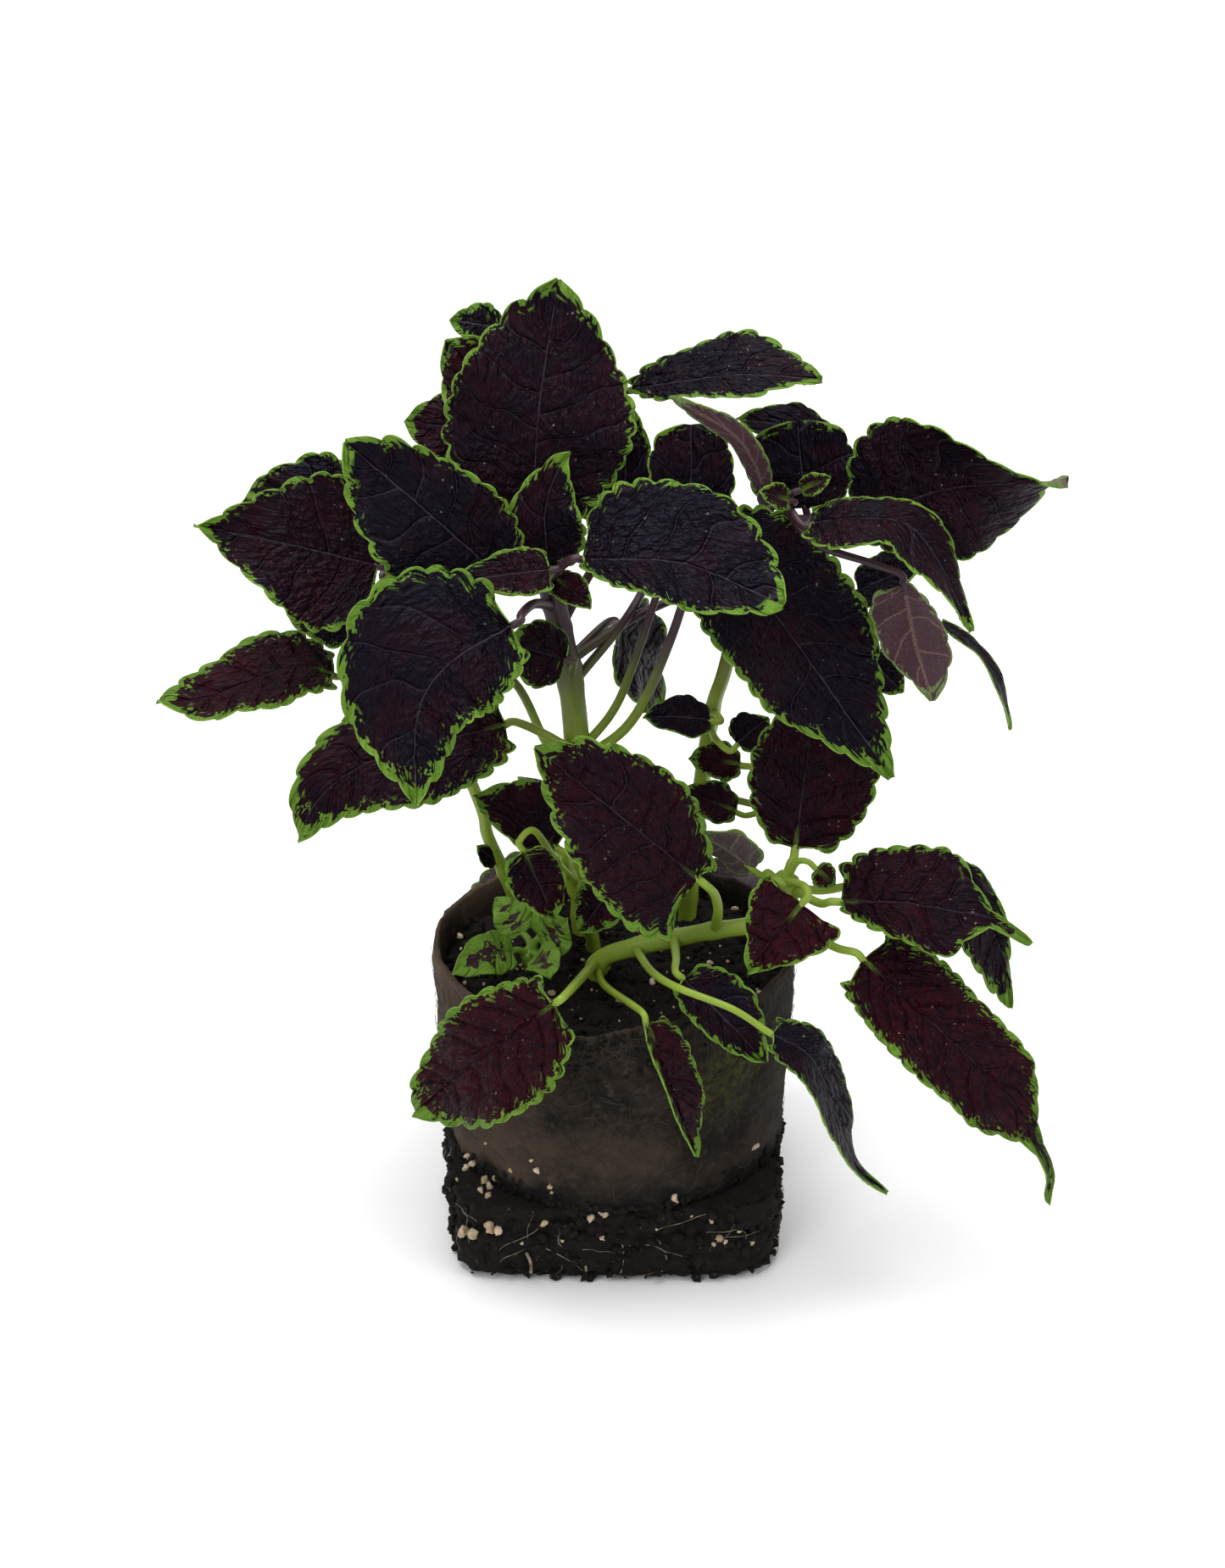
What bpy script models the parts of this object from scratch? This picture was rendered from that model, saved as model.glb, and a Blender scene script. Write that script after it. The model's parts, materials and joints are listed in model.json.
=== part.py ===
"""A young coleus in its root ball: dark leaves with scalloped green margins on square green
stems, which stand in potting soil inside a sleeve of pressed fibre.

The origin is the middle of the flat underside of the root ball, +Z is up and -Y is the front.
Lengths here are millimetres until a mesh is made. A place is given in one of two ways:
at(x, y, z) is the plain position, and seen(across, up, depth) is the position on the line of
sight of someone who looks at the front from a little above. There across and up are measured
on an upright sheet held square to that look, and depth is the plain y of the place.
"""
import math

import bmesh
import bpy
from mathutils import Vector, noise

MM = 0.001

# The look at the front: its tilt, its distance, and the height that it is centred on
LOOK_TILT = math.radians(26.0)
LOOK_DISTANCE = 820.0
LOOK_HEIGHT = 113.0
SHEET_MIDDLE_UP = 99.0

# Root ball and sleeve
GAP = 0.3
FOOT_HALF = 40.0
FOOT_TOP_Z = 20.0
FOOT_GROOVE_Z = 12.5
FOOT_CORNER_POWER = 7.0
RIM_RADIUS = 44.0
SLEEVE_FOOT_RADIUS = 41.0
RIM_Z = 71.5
SLEEVE_WALL = 1.7
SLEEVE_ROUGHNESS = 0.9
CORE_INSET = 2.7
SOIL_TOP_Z = 66.5
SOIL_TOP_ROUGHNESS = 2.4
FOOT_ROUGHNESS = 1.5
HOLE_BOTTOM_Z = 55.0
HOLE_SIDES = 12
ROUND_STEPS = 36

# Leaf proportions
BLADE_THICKNESS = 0.75
TOOTH_PITCH = 4.8
TOOTH_DEPTH = 0.09
FEW_TEETH = 9.9
BASE_LOBE = 0.05
LOBE_START = 0.06
LOBE_END = 0.12
PLAIN_BASE = 0.1
STILL_SHARE = 0.4
MIDDLE_ROW = 0.55
LARGE_ROWS = (0.12, 0.3, 0.52, 0.76)
SMALL_ROWS = (0.15, 0.4, 0.7)
TINY_ROWS = (0.4,)
ROW_LEAD = 0.15
LARGE_PHASES = (0.0, 0.32, 0.76)
SMALL_PHASES = (0.0, 0.55)
TOOTH_ROUNDNESS = 0.6
WAVES = 2.3
FRAME_STEP = 0.04
FORM = (0.55, 1.0)
TAIL_START = 0.5
TAIL_SPAN = 0.25
SIDE_PHASE = 0.35
LARGE_LEAF = 48.0
TINY_LEAF = 21.0

# Stalks and stems
STALK_RADIUS = 1.05
STALK_SIDES = 5
STALK_SWELL = 1.25
STALK_NECK = 0.9
STALK_SHORT = 0.35
STALK_OVERLAP = 1.5
STALK_APPROACH = 2.6
THIN_STALK = 0.62
WIDE_LEAF = 30.0
STEM_SIDES = 8
STEM_SQUARE = 0.06

# Colours, roughness
LEAF_COLOUR = (0.045, 0.016, 0.035)
STEM_COLOUR = (0.26, 0.42, 0.07)
SHOOT_COLOUR = (0.14, 0.34, 0.05)
SLEEVE_COLOUR = (0.085, 0.055, 0.035)
SOIL_COLOUR = (0.018, 0.014, 0.012)

# Directions that leaf faces look in
TO_FRONT = (0.0, -0.85, 0.52)
TO_BACK = (0.0, 0.4, 0.9)


def at(x, y, z):
    return Vector((x, y, z))


def seen(across, up, depth):
    """The point on a line of sight whose plain y is depth."""
    forward = Vector((0.0, math.cos(LOOK_TILT), -math.sin(LOOK_TILT)))
    upward = Vector((0.0, math.sin(LOOK_TILT), math.cos(LOOK_TILT)))
    middle = Vector((0.0, 0.0, LOOK_HEIGHT))
    eye = middle - forward * LOOK_DISTANCE
    on_sheet = middle + Vector((across, 0.0, 0.0)) + upward * (up - SHEET_MIDDLE_UP)
    ray = on_sheet - eye
    return eye + ray * ((depth - eye.y) / ray.y)


def smooth_path(points, per_span=8):
    """A Catmull-Rom curve through the points, as a close polyline."""
    if len(points) == 2:
        return [points[0].lerp(points[1], i / per_span) for i in range(per_span + 1)]
    ends = [2 * points[0] - points[1]] + list(points) + [2 * points[-1] - points[-2]]
    path = []
    for i in range(1, len(ends) - 2):
        a, b, c, d = ends[i - 1 : i + 3]
        for step in range(per_span):
            t = step / per_span
            curve = 2 * b + (c - a) * t
            curve += (2 * a - 5 * b + 4 * c - d) * t * t
            curve += (3 * b - a - 3 * c + d) * t * t * t
            path.append(curve * 0.5)
    return path + [points[-1].copy()]


def path_lengths(path):
    lengths = [0.0]
    for a, b in zip(path, path[1:]):
        lengths.append(lengths[-1] + (b - a).length)
    return lengths


def point_along(path, lengths, share):
    """The point at a share of the path's length. Below 0 the path runs on straight."""
    goal = share * lengths[-1]
    if goal < 0.0:
        return path[0] + (path[1] - path[0]).normalized() * goal
    for i in range(1, len(path)):
        if lengths[i] >= goal or i == len(path) - 1:
            span = max(lengths[i] - lengths[i - 1], 1e-9)
            return path[i - 1].lerp(path[i], (goal - lengths[i - 1]) / span)
    return path[-1]


def ease(share):
    inside = min(max(share, 0.0), 1.0)
    return inside * inside * (3.0 - 2.0 * inside)


class Leaf:
    """One blade: its midrib, its width, and the way its upper face looks at base and tip."""

    def __init__(self, name, stem, stalk, rib, width, face=TO_FRONT, tip_face=None,
                 fold=8.0, arch=0.05, curl=0.0, wave=0.042, sides=(1.0, 1.0), form=FORM,
                 plus_form=None, tail=0.0, tail_start=TAIL_START, lobe=BASE_LOBE):
        self.name = name
        self.stem = stem
        self.stalk = stalk
        self.width = width
        self.face = Vector(face).normalized()
        self.tip_face = Vector(tip_face or face).normalized()
        self.fold = math.radians(fold)
        self.curl = curl
        self.wave = wave
        self.sides = sides
        self.forms = (form, plus_form or form)
        self.tail = tail
        self.tail_start = tail_start
        self.lobe = lobe
        points = list(rib)
        if len(points) == 2:
            chord = points[1] - points[0]
            points.insert(1, points[0] + chord * 0.5 + self.face * chord.length * arch)
        self.path = smooth_path(points)
        self.lengths = path_lengths(self.path)
        self.length = self.lengths[-1]
        self.teeth = max(4, round(self.length / TOOTH_PITCH))

    def frame(self, along):
        """Position on the midrib, and the unit vectors along, across and out of the face."""
        near = min(max(along, 0.0), 1.0)
        start = point_along(self.path, self.lengths, max(near - FRAME_STEP, 0.0))
        end = point_along(self.path, self.lengths, min(near + FRAME_STEP, 1.0))
        tangent = (end - start).normalized()
        wanted = self.face.lerp(self.tip_face, near * near)
        normal = (wanted - wanted.dot(tangent) * tangent).normalized()
        across = tangent.cross(normal)
        return point_along(self.path, self.lengths, along), tangent, across, normal

    def half_width(self, along, share):
        """The distance from the midrib to the margin, on the side that share is on."""
        inside = min(max(along, 0.0), 1.0)
        rise, fall = self.forms[share > 0]
        peak_at = rise / (rise + fall)
        peak = peak_at**rise * (1 - peak_at) ** fall
        shape = inside**rise * (1 - inside) ** fall / peak
        shape *= 1.0 - self.tail * ease((inside - self.tail_start) / TAIL_SPAN)
        return self.width / 2 * self.sides[share > 0] * shape

    def surface(self, along, share, swell=0.0):
        """A point of the blade: share runs from -1 at one margin to 1 at the other."""
        reach = abs(share)
        offset = self.half_width(along, share) * reach * (1.0 + swell)
        run = STILL_SHARE + (along - STILL_SHARE) * (1.0 + swell * reach)
        run -= self.lobe * reach * ease(along / LOBE_START) * math.exp(-along / LOBE_END)
        centre, _, across, normal = self.frame(run)
        half = self.width / 2
        lift = math.sin(self.fold) * offset
        lift -= self.curl * half * (offset / half) ** 3
        ripple = math.sin(math.tau * (WAVES * along + SIDE_PHASE * (share > 0)))
        lift += self.wave * self.width * ripple * reach * reach
        sideways = math.copysign(offset * math.cos(self.fold), share)
        return centre + across * sideways + normal * lift


def tooth_swell(phase):
    """How far the margin stands out within one scallop, from 0 to 1."""
    return math.sin(math.pi * phase) ** TOOTH_ROUNDNESS if 0.0 < phase < 1.0 else 0.0


def margin_stations(leaf):
    """Shares along the midrib, and the swell, of the margin points from base to tip."""
    phases = LARGE_PHASES if leaf.length > LARGE_LEAF else SMALL_PHASES
    depth = TOOTH_DEPTH * min(1.0, FEW_TEETH / leaf.teeth)
    stations = [((PLAIN_BASE * 0.4) ** 1.5, 0.0)]
    for tooth in range(leaf.teeth):
        for phase in phases:
            share = PLAIN_BASE + (1.0 - PLAIN_BASE) * (tooth + phase) / leaf.teeth
            stations.append((share**1.5, depth * tooth_swell(phase)))
    return stations


def zip_strip(first, second):
    """Triangles between two runs of (share, index), both from base to tip."""
    faces = []
    i = j = 0
    while i < len(first) - 1 or j < len(second) - 1:
        first_left = i < len(first) - 1
        second_left = j < len(second) - 1
        take_first = not second_left or (first_left and first[i + 1][0] <= second[j + 1][0])
        corner = first[i + 1] if take_first else second[j + 1]
        face = (first[i][1], second[j][1], corner[1])
        if len(set(face)) == 3:
            faces.append(face)
        i += take_first
        j += not take_first
    return faces


def blade_sheet(leaf):
    """The blade's middle surface: points, triangles and the loop of its margin."""
    inner = LARGE_ROWS if leaf.length > LARGE_LEAF else SMALL_ROWS
    if leaf.length < TINY_LEAF:
        inner = TINY_ROWS
    points = [leaf.surface(0.0, 0.0), leaf.surface(1.0, 0.0)]

    def run(stations, share_across):
        row = [(0.0, 0)]
        for share, swell in stations:
            early = 0.0 if abs(share_across) == 1.0 else ROW_LEAD * (1.0 - share) ** 2
            row.append((max(share - early, 0.004), len(points)))
            points.append(leaf.surface(share, share_across, swell))
        return row + [(1.0, 1)]

    rib = run([(share, 0.0) for share in inner], 0.0)
    faces = []
    margins = []
    for side in (-1.0, 1.0):
        middle = run([(share, 0.0) for share in inner], MIDDLE_ROW * side)
        margin = run(margin_stations(leaf), side)
        faces += zip_strip(rib, middle) + zip_strip(middle, margin)
        margins.append([index for _, index in margin])
    loop = margins[1] + margins[0][-2:0:-1]
    return points, faces, loop


def thicken(points, faces, loop, thickness):
    """A closed shell: the sheet's two faces, split alike, and the wall round its margin."""
    sheet = bmesh.new()
    corners = [sheet.verts.new(point) for point in points]
    for face in faces:
        sheet.faces.new([corners[index] for index in face])
    bmesh.ops.recalc_face_normals(sheet, faces=sheet.faces)
    sheet.normal_update()
    normals = [corner.normal.copy() for corner in corners]
    sheet.free()
    count = len(points)
    half = thickness / 2
    vertices = [p + n * half for p, n in zip(points, normals)]
    vertices += [p - n * half for p, n in zip(points, normals)]
    shell = [tuple(face) for face in faces]
    shell += [tuple(count + index for index in reversed(face)) for face in faces]
    for a, b in zip(loop, loop[1:] + loop[:1]):
        shell += [(a, b, count + b), (a, count + b, count + a)]
    return vertices, shell


def tube(path, radii, sides=6, square=0.0):
    """A capped tube along the path. square above 0 flattens its four sides, as on a mint stem."""
    vertices = []
    faces = []
    tangent = (path[1] - path[0]).normalized()
    side = tangent.orthogonal().normalized()
    for i, point in enumerate(path):
        ahead = path[min(i + 1, len(path) - 1)] - path[max(i - 1, 0)]
        ahead.normalize()
        side = (side - side.dot(ahead) * ahead).normalized()
        other = ahead.cross(side)
        for k in range(sides):
            angle = math.tau * k / sides
            radius = radii[i] * (1.0 - square * math.cos(4 * angle))
            vertices.append(point + radius * (math.cos(angle) * side + math.sin(angle) * other))
    for i in range(len(path) - 1):
        for k in range(sides):
            a = i * sides + k
            b = i * sides + (k + 1) % sides
            faces.append((a, b, b + sides, a + sides))
    faces.append(tuple(reversed(range(sides))))
    faces.append(tuple(range(len(vertices) - sides, len(vertices))))
    return vertices, faces


def add_object(name, vertices, faces, material=None):
    mesh = bpy.data.meshes.new(name)
    mesh.from_pydata([Vector(v) * MM for v in vertices], [], faces)
    shape = bmesh.new()
    shape.from_mesh(mesh)
    bmesh.ops.recalc_face_normals(shape, faces=shape.faces)
    shape.to_mesh(mesh)
    shape.free()
    if material:
        mesh.materials.append(material)
    made = bpy.data.objects.new(name, mesh)
    bpy.context.scene.collection.objects.link(made)
    return made


def make_material(name, colour, roughness):
    material = bpy.data.materials.new(name)
    material.use_nodes = True
    shader = material.node_tree.nodes["Principled BSDF"]
    shader.inputs["Base Color"].default_value = (*colour, 1.0)
    shader.inputs["Roughness"].default_value = roughness
    shader.inputs["Metallic"].default_value = 0.0
    return material


def apply_modifiers(made):
    """Writes the evaluated mesh back, so that the helper objects can go."""
    depsgraph = bpy.context.evaluated_depsgraph_get()
    mesh = bpy.data.meshes.new_from_object(made.evaluated_get(depsgraph))
    made.modifiers.clear()
    made.data = mesh


def join_with_union(base, others):
    """One Boolean union of the others with the base. The others are then removed."""
    group = bpy.data.collections.new(base.name + "_repeats")
    bpy.context.scene.collection.children.link(group)
    for other in others:
        group.objects.link(other)
    union = base.modifiers.new("grown_together", "BOOLEAN")
    union.operation = "UNION"
    union.operand_type = "COLLECTION"
    union.collection = group
    union.solver = "MANIFOLD"
    apply_modifiers(base)
    for other in others:
        bpy.data.objects.remove(other)
    bpy.data.collections.remove(group)


# Stems: the path of each, its radius at the foot and at the top
STEMS = {
    "main_stem": (
        [at(-7, 13, HOLE_BOTTOM_Z + 0.6), at(-7, 13, 67), seen(-8, 92, 9), seen(-10, 120, 5),
         seen(-15, 145, 2), seen(-17, 152, 2)],
        3.4, 2.5),
    "right_stem": (
        [at(18, 22, HOLE_BOTTOM_Z + 0.6), at(18, 22, 67), seen(20, 95, 21), seen(23, 116, 17),
         seen(26, 126, 14), seen(31, 146, 15), seen(35.6, 162, 15), seen(35.8, 169, 16)],
        2.2, 1.4),
    "left_stem": (
        [at(-23, 17, HOLE_BOTTOM_Z + 0.6), at(-23, 17, 67), seen(-26, 78, 14), seen(-30, 87, 11),
         seen(-32, 95, 10), seen(-44, 122, 10), seen(-52, 140, 10), seen(-54, 149, 12)],
        1.6, 1.1),
    "middle_stem": (
        [at(-5, 2, HOLE_BOTTOM_Z + 0.6), at(-5, 2, 67), seen(-6.5, 67, 0), seen(-10.6, 77, -3),
         seen(-12.2, 82, -4)],
        1.8, 1.3),
    "side_branch": (
        [at(-4.5, -9, HOLE_BOTTOM_Z + 0.6), at(-4.5, -9, 66), seen(-2.5, 58, -9.5), seen(4.4, 60.4, -11),
         seen(21, 64, -14), seen(33, 66, -16), seen(38.5, 70, -17), seen(40.5, 77, -18)],
        2.5, 2.0),
    "basal_shoots": (
        [at(-20, -6, HOLE_BOTTOM_Z + 3.0), at(-20, -6, 68.5), at(-20.5, -7, 72)],
        1.7, 1.5),
}

LEAVES = [
    # Crown of the main stem
    Leaf("crown_back_leaf", "main_stem", [seen(-17, 151, 2), seen(-18.5, 158, 4)],
         [seen(-19, 163, 6), seen(-18, 186, 11), seen(-13.2, 218.4, 24)], 43, fold=6,
         sides=(0.93, 0.97), form=(0.6, 1.0)),
    Leaf("crown_upright_leaf", "main_stem", [seen(-16.5, 148, 1)],
         [seen(-15.6, 150.4, -2), seen(-16.4, 163, -1), seen(-13.3, 173.6, 1.5),
          seen(-10.4, 177.4, 3)], 17.5, fold=12, form=(0.5, 1.2)),
    Leaf("crown_left_leaf", "main_stem", [seen(-15.5, 147, 2), seen(-20, 145.5, -6)],
         [seen(-26, 147, -8), seen(-64, 180, -10)], 33, sides=(0.97, 0.77), form=(0.45, 0.8)),
    Leaf("crown_front_leaf", "main_stem",
         [seen(-14.4, 141, 2.5), seen(-19, 141.5, -12), seen(-22, 139, -21)],
         [seen(-24.6, 136.2, -25), seen(-36.8, 129.2, -29.5), seen(-44, 121.6, -32.5),
          seen(-47, 112, -36), seen(-46.8, 93.2, -45)],
         46, sides=(0.58, 0.96), form=(0.5, 1.1), plus_form=(0.7, 1.45)),
    Leaf("crown_right_leaf", "main_stem", [seen(-15.5, 146.5, 1), seen(-14, 149, -9)],
         [seen(-7.4, 152, -15), seen(16.4, 150.8, -18.5), seen(40, 140.8, -25)], 29,
         face=(0.1, -0.6, 0.8), sides=(1.3, 0.77), form=(0.5, 0.85), plus_form=(0.9, 0.85)),
    Leaf("crown_side_leaf", "main_stem", [seen(-16, 147, 1), seen(-14.5, 149, -8)],
         [seen(-15.5, 149.5, -13), seen(-42.4, 145.5, -17.5)], 11, face=(0, -0.75, 0.66),
         form=(0.4, 1.3)),
    Leaf("crown_curled_leaf", "main_stem", [seen(-10.6, 124, 3), seen(-9.5, 128, -1)],
         [seen(-12, 128.5, -5), seen(-25.5, 132, -10)], 15, curl=0.35, form=(0.4, 0.7)),
    Leaf("rear_right_leaf", "main_stem", [seen(-13, 136, 3), seen(-5, 150, 11), seen(1, 158, 19)],
         [seen(2, 161.6, 21), seen(3.4, 189, 30)], 30, sides=(1.0, 0.45)),
    Leaf("rear_left_leaf", "main_stem", [seen(-16, 149, 2), seen(-17.5, 160, 12), seen(-18.5, 173, 22)],
         [seen(-20, 181, 28), seen(-40, 204, 33)], 25),
    Leaf("rear_low_leaf", "main_stem", [seen(-17.5, 160, 12), seen(-20, 170, 30)],
         [seen(-33, 182, 40), seen(-49.6, 184.6, 41)], 16),
    Leaf("long_stalk_leaf", "main_stem",
         [seen(-10.4, 122, 5), seen(4, 140, 12), seen(8, 152, 30), seen(6, 175, 39), seen(2.5, 190, 36)],
         [seen(3.8, 192, 34), seen(17, 194, 31), seen(31, 195.4, 27), seen(49.2, 194.2, 22)], 21,
         face=(0, -0.4, 0.9), sides=(1.2, 0.75), form=(1.1, 1.1)),
    Leaf("dark_inner_leaf", "main_stem",
         [seen(-9, 106, 7), seen(-0.4, 116.2, 7), seen(4.8, 128.4, 8), seen(13, 152, 9)],
         [seen(18, 161, 11), seen(18, 184, 15)], 19, form=(0.4, 0.4)),
    Leaf("big_right_leaf", "main_stem",
         [seen(-9, 104, 7), seen(3.8, 113.6, 4), seen(13, 132.6, 2), seen(19, 152, 0)],
         [seen(23, 158.5, 0), seen(42.5, 132.5, -6), seen(65.4, 100, -16)], 39,
         face=(0.3, -0.72, 0.62), sides=(1.0, 0.93), form=(0.6, 1.12)),
    Leaf("lower_left_leaf", "main_stem", [seen(-9.5, 106.5, 6), seen(-17, 111, -3)],
         [seen(-26, 113, -8), seen(-54.5, 105.4, -17), seen(-68.4, 97, -21),
          seen(-74.8, 85.2, -23)], 29, face=(-0.15, -0.8, 0.58), sides=(0.93, 0.88),
         form=(0.6, 1.0)),
    Leaf("far_left_leaf", "main_stem",
         [seen(-9, 101, 7), seen(-16, 108.6, 5), seen(-26, 125, 3), seen(-48, 127, 4)],
         [seen(-66.6, 125, 5), seen(-75.8, 126.6, 3.5), seen(-88.2, 122.2, 1),
          seen(-98.2, 118.8, -1.5), seen(-108.3, 118.4, -4)],
         22, face=(-0.1, -0.35, 0.93), form=(0.5, 0.85)),
    # Left stem
    Leaf("left_leaf", "left_stem", [seen(-54, 148, 12)],
         [seen(-56, 150.5, 8), seen(-99.6, 160, 3)], 35, face=(-0.1, -0.8, 0.6), form=(0.6, 1.5)),
    Leaf("left_rear_leaf", "left_stem", [seen(-54, 148, 12), seen(-54, 160, 19)],
         [seen(-59, 164, 22), seen(-88, 165.6, 22)], 23, face=(-0.1, -0.7, 0.7)),
    Leaf("left_small_leaf", "left_stem", [seen(-50, 134, 10), seen(-57, 135.5, 13)],
         [seen(-61, 136, 14), seen(-77.4, 139, 14)], 14, face=(0, -0.6, 0.8)),
    # Right stem
    Leaf("right_round_leaf", "right_stem", [seen(35.6, 160, 15), seen(42, 161.5, 19)],
         [seen(45, 164.4, 22), seen(43, 184.6, 28)], 24, face=(0, -0.95, 0.3), form=(0.4, 0.45)),
    Leaf("right_narrow_leaf", "right_stem", [seen(35.8, 167, 16)],
         [seen(35.2, 168.5, 10), seen(32.6, 175.6, 7), seen(27.3, 182.2, 3.5),
          seen(13.2, 190.4, -1)], 6.5, face=(0.3, 0.8, 0.1), form=(0.4, 0.7)),
    Leaf("right_rear_leaf", "right_stem", [seen(34.5, 156, 15), seen(45, 160, 28), seen(54, 174, 35)],
         [seen(51, 180, 37), seen(28.6, 185.2, 36)], 13, face=(0, -0.5, 0.87)),
    Leaf("far_right_leaf", "right_stem", [seen(35, 157, 15), seen(46, 159.5, 18), seen(54, 161, 16)],
         [seen(58.6, 161.2, 13), seen(72.6, 167, 6), seen(84, 169.4, 1), seen(107.2, 170.2, -3)],
         38, tip_face=(0.1, -0.1, -1.0), sides=(0.98, 0.84), form=(1.0, 2.4),
         plus_form=(0.7, 0.8)),
    Leaf("right_drooping_leaf", "right_stem", [seen(35.7, 164, 15), seen(40, 165, 6)],
         [seen(46.6, 160.5, -2), seen(58, 161.5, -6), seen(69, 160, -9), seen(77, 150, -13),
          seen(84, 134.6, -18)], 20, face=(0.2, -0.35, 0.9), tip_face=(0.8, -0.4, 0.3),
         sides=(0.75, 1.15)),
    Leaf("right_dark_leaf", "right_stem",
         [seen(30.5, 143, 15), seen(44, 139, 20), seen(53, 142, 21)],
         [seen(57.5, 144.5, 20), seen(72.5, 150.5, 15)], 13, face=(0, -0.6, 0.8)),
    Leaf("right_hanging_leaf", "right_stem",
         [seen(40, 165, 6), seen(47, 156, 0), seen(61, 151, 0)],
         [seen(68, 146, 0), seen(74.8, 118.4, -6)], 17, face=(-0.35, 0.85, -0.4),
         form=(0.45, 1.2), plus_form=(0.9, 0.7)),
    Leaf("right_strap_leaf", "right_stem",
         [seen(44, 139, 20), seen(60, 137, 17), seen(72, 138, 16)],
         [seen(77, 137, 14), seen(85, 131, 13), seen(90.5, 122.5, 10), seen(93.4, 111.6, 8)], 6,
         face=(0.8, -0.25, 0.55), form=(0.5, 0.6)),
    Leaf("right_hidden_leaf", "right_stem", [seen(57, 137, 18), seen(59, 132, 18)],
         [seen(60, 128.5, 17), seen(68, 120.5, 14)], 10),
    Leaf("inner_left_leaf", "right_stem", [seen(23, 116, 17), seen(24.5, 115, 11)],
         [seen(22.5, 114, 8), seen(6.6, 114.6, 6)], 11, face=(0, -0.5, 0.87)),
    Leaf("inner_right_leaf", "right_stem", [seen(22.8, 113, 17.5), seen(23.6, 110, 10)],
         [seen(29, 108.5, 6), seen(36.5, 114.5, 9)], 10, face=(0, -0.5, 0.87)),
    Leaf("inner_striped_leaf", "right_stem", [seen(20.5, 97, 21), seen(33.5, 94, 8), seen(34, 92.5, -1)],
         [seen(28.6, 92.5, -1), seen(15, 97, 0)], 11, face=(0, -0.5, 0.85)),
    Leaf("inner_red_leaf", "right_stem", [seen(21.3, 104, 19.3), seen(33.5, 103, 15)],
         [seen(29.6, 103.5, 10), seen(17.4, 105, 9)], 10, face=(0, -0.6, 0.8)),
    Leaf("rim_back_right_leaf", "right_stem", [at(18, 22, 72), at(19, 37, 77)],
         [at(20, 51, 65), at(27, 56, 50), at(33, 58, 33)], 27, face=(0.2, 0.95, 0.2)),
    # Middle stem
    Leaf("low_left_leaf", "middle_stem", [seen(-12, 80, -4)],
         [seen(-14, 84, -8), seen(-33.4, 96.2, -9)], 20, face=(-0.1, -0.7, 0.7),
         sides=(0.5, 1.15)),
    Leaf("low_left_small_leaf", "middle_stem",
         [seen(-10.6, 77, -3), seen(-14, 81, -14), seen(-19, 88, -19)],
         [seen(-21.4, 83, -22), seen(-14.2, 67.2, -27)], 13),
    Leaf("low_middle_leaf", "middle_stem", [seen(-9.5, 74, -2), seen(-3, 78, -8), seen(0.5, 77.4, -11)],
         [seen(0, 75, -13), seen(-8.4, 64, -17)], 12, face=(0, -0.8, 0.6)),
    # Side branch
    Leaf("front_middle_leaf", "side_branch",
         [seen(23.6, 64.4, -14), seen(24.4, 69, -21), seen(23.5, 73, -25)],
         [seen(19.4, 76.8, -28), seen(0, 92.5, -29), seen(-19.2, 107.8, -24)], 34,
         sides=(1.05, 0.83), form=(0.3, 1.0), plus_form=(0.8, 1.0), lobe=0.12),
    Leaf("branch_upright_leaf", "side_branch", [seen(40.5, 76, -18), seen(41.5, 80, -18)],
         [seen(42.6, 84, -16), seen(47, 117, 6)], 29, sides=(0.85, 1.1), form=(0.5, 0.5)),
    Leaf("branch_red_leaf", "side_branch", [seen(40.5, 76, -18), seen(44.5, 75, -27)],
         [seen(44, 70.6, -31), seen(31.4, 54.2, -36)], 21, form=(0.2, 1.1), lobe=0.12),
    Leaf("branch_small_leaf", "side_branch", [seen(40.5, 76, -18), seen(43, 80.5, -19)],
         [seen(47.5, 79, -20), seen(52, 75, -19.5)], 6),
    Leaf("branch_right_leaf", "side_branch", [seen(40.5, 75, -18), seen(48, 71, -24)],
         [seen(53.6, 71.2, -27), seen(66.8, 71, -29.5), seen(77.4, 69.4, -30.5),
          seen(87.8, 67.4, -31), seen(98.6, 61.2, -32)], 25, face=(0.1, -0.75, 0.65),
         sides=(1.05, 0.9), form=(0.4, 0.6), plus_form=(0.9, 0.6), tail=0.8),
    Leaf("branch_rear_leaf", "side_branch",
         [seen(40.5, 75, -18), seen(50, 74, -14), seen(64, 77.5, -13)],
         [seen(73, 79, -14), seen(84.6, 76, -15.5), seen(90.2, 62, -17), seen(93.4, 46, -19)], 21,
         face=(0.3, -0.75, 0.6), sides=(0.35, 1.0)),
    Leaf("branch_long_leaf", "side_branch",
         [seen(40.5, 75, -18), seen(46, 64.5, -23), seen(52, 60.5, -28)],
         [seen(58.8, 57.4, -32), seen(76.4, 41, -39), seen(91, 27.4, -43), seen(99, 16, -43),
          seen(103, 7, -42), seen(102.4, -0.2, -40)], 24,
         face=(0.15, -0.8, 0.58), form=(0.4, 1.2), plus_form=(0.3, 0.5), tail=0.74,
         tail_start=0.52),
    Leaf("branch_grey_leaf", "side_branch", [seen(40, 74, -18), seen(36.5, 78, -14)],
         [seen(32.8, 79, -13), seen(19.4, 87.5, -12)], 14, face=(0, 0.8, 0.6)),
    Leaf("over_rim_left_leaf", "side_branch", [at(-4.5, -9, 70), seen(-9, 52, -30)],
         [seen(-14.2, 47.2, -49), seen(-31, 35, -46), seen(-47.2, 21.4, -35)], 29,
         face=(-0.2, -0.9, 0.4), sides=(1.06, 0.82), form=(0.5, 0.9), lobe=0.07),
    Leaf("over_rim_narrow_leaf", "side_branch",
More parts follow.
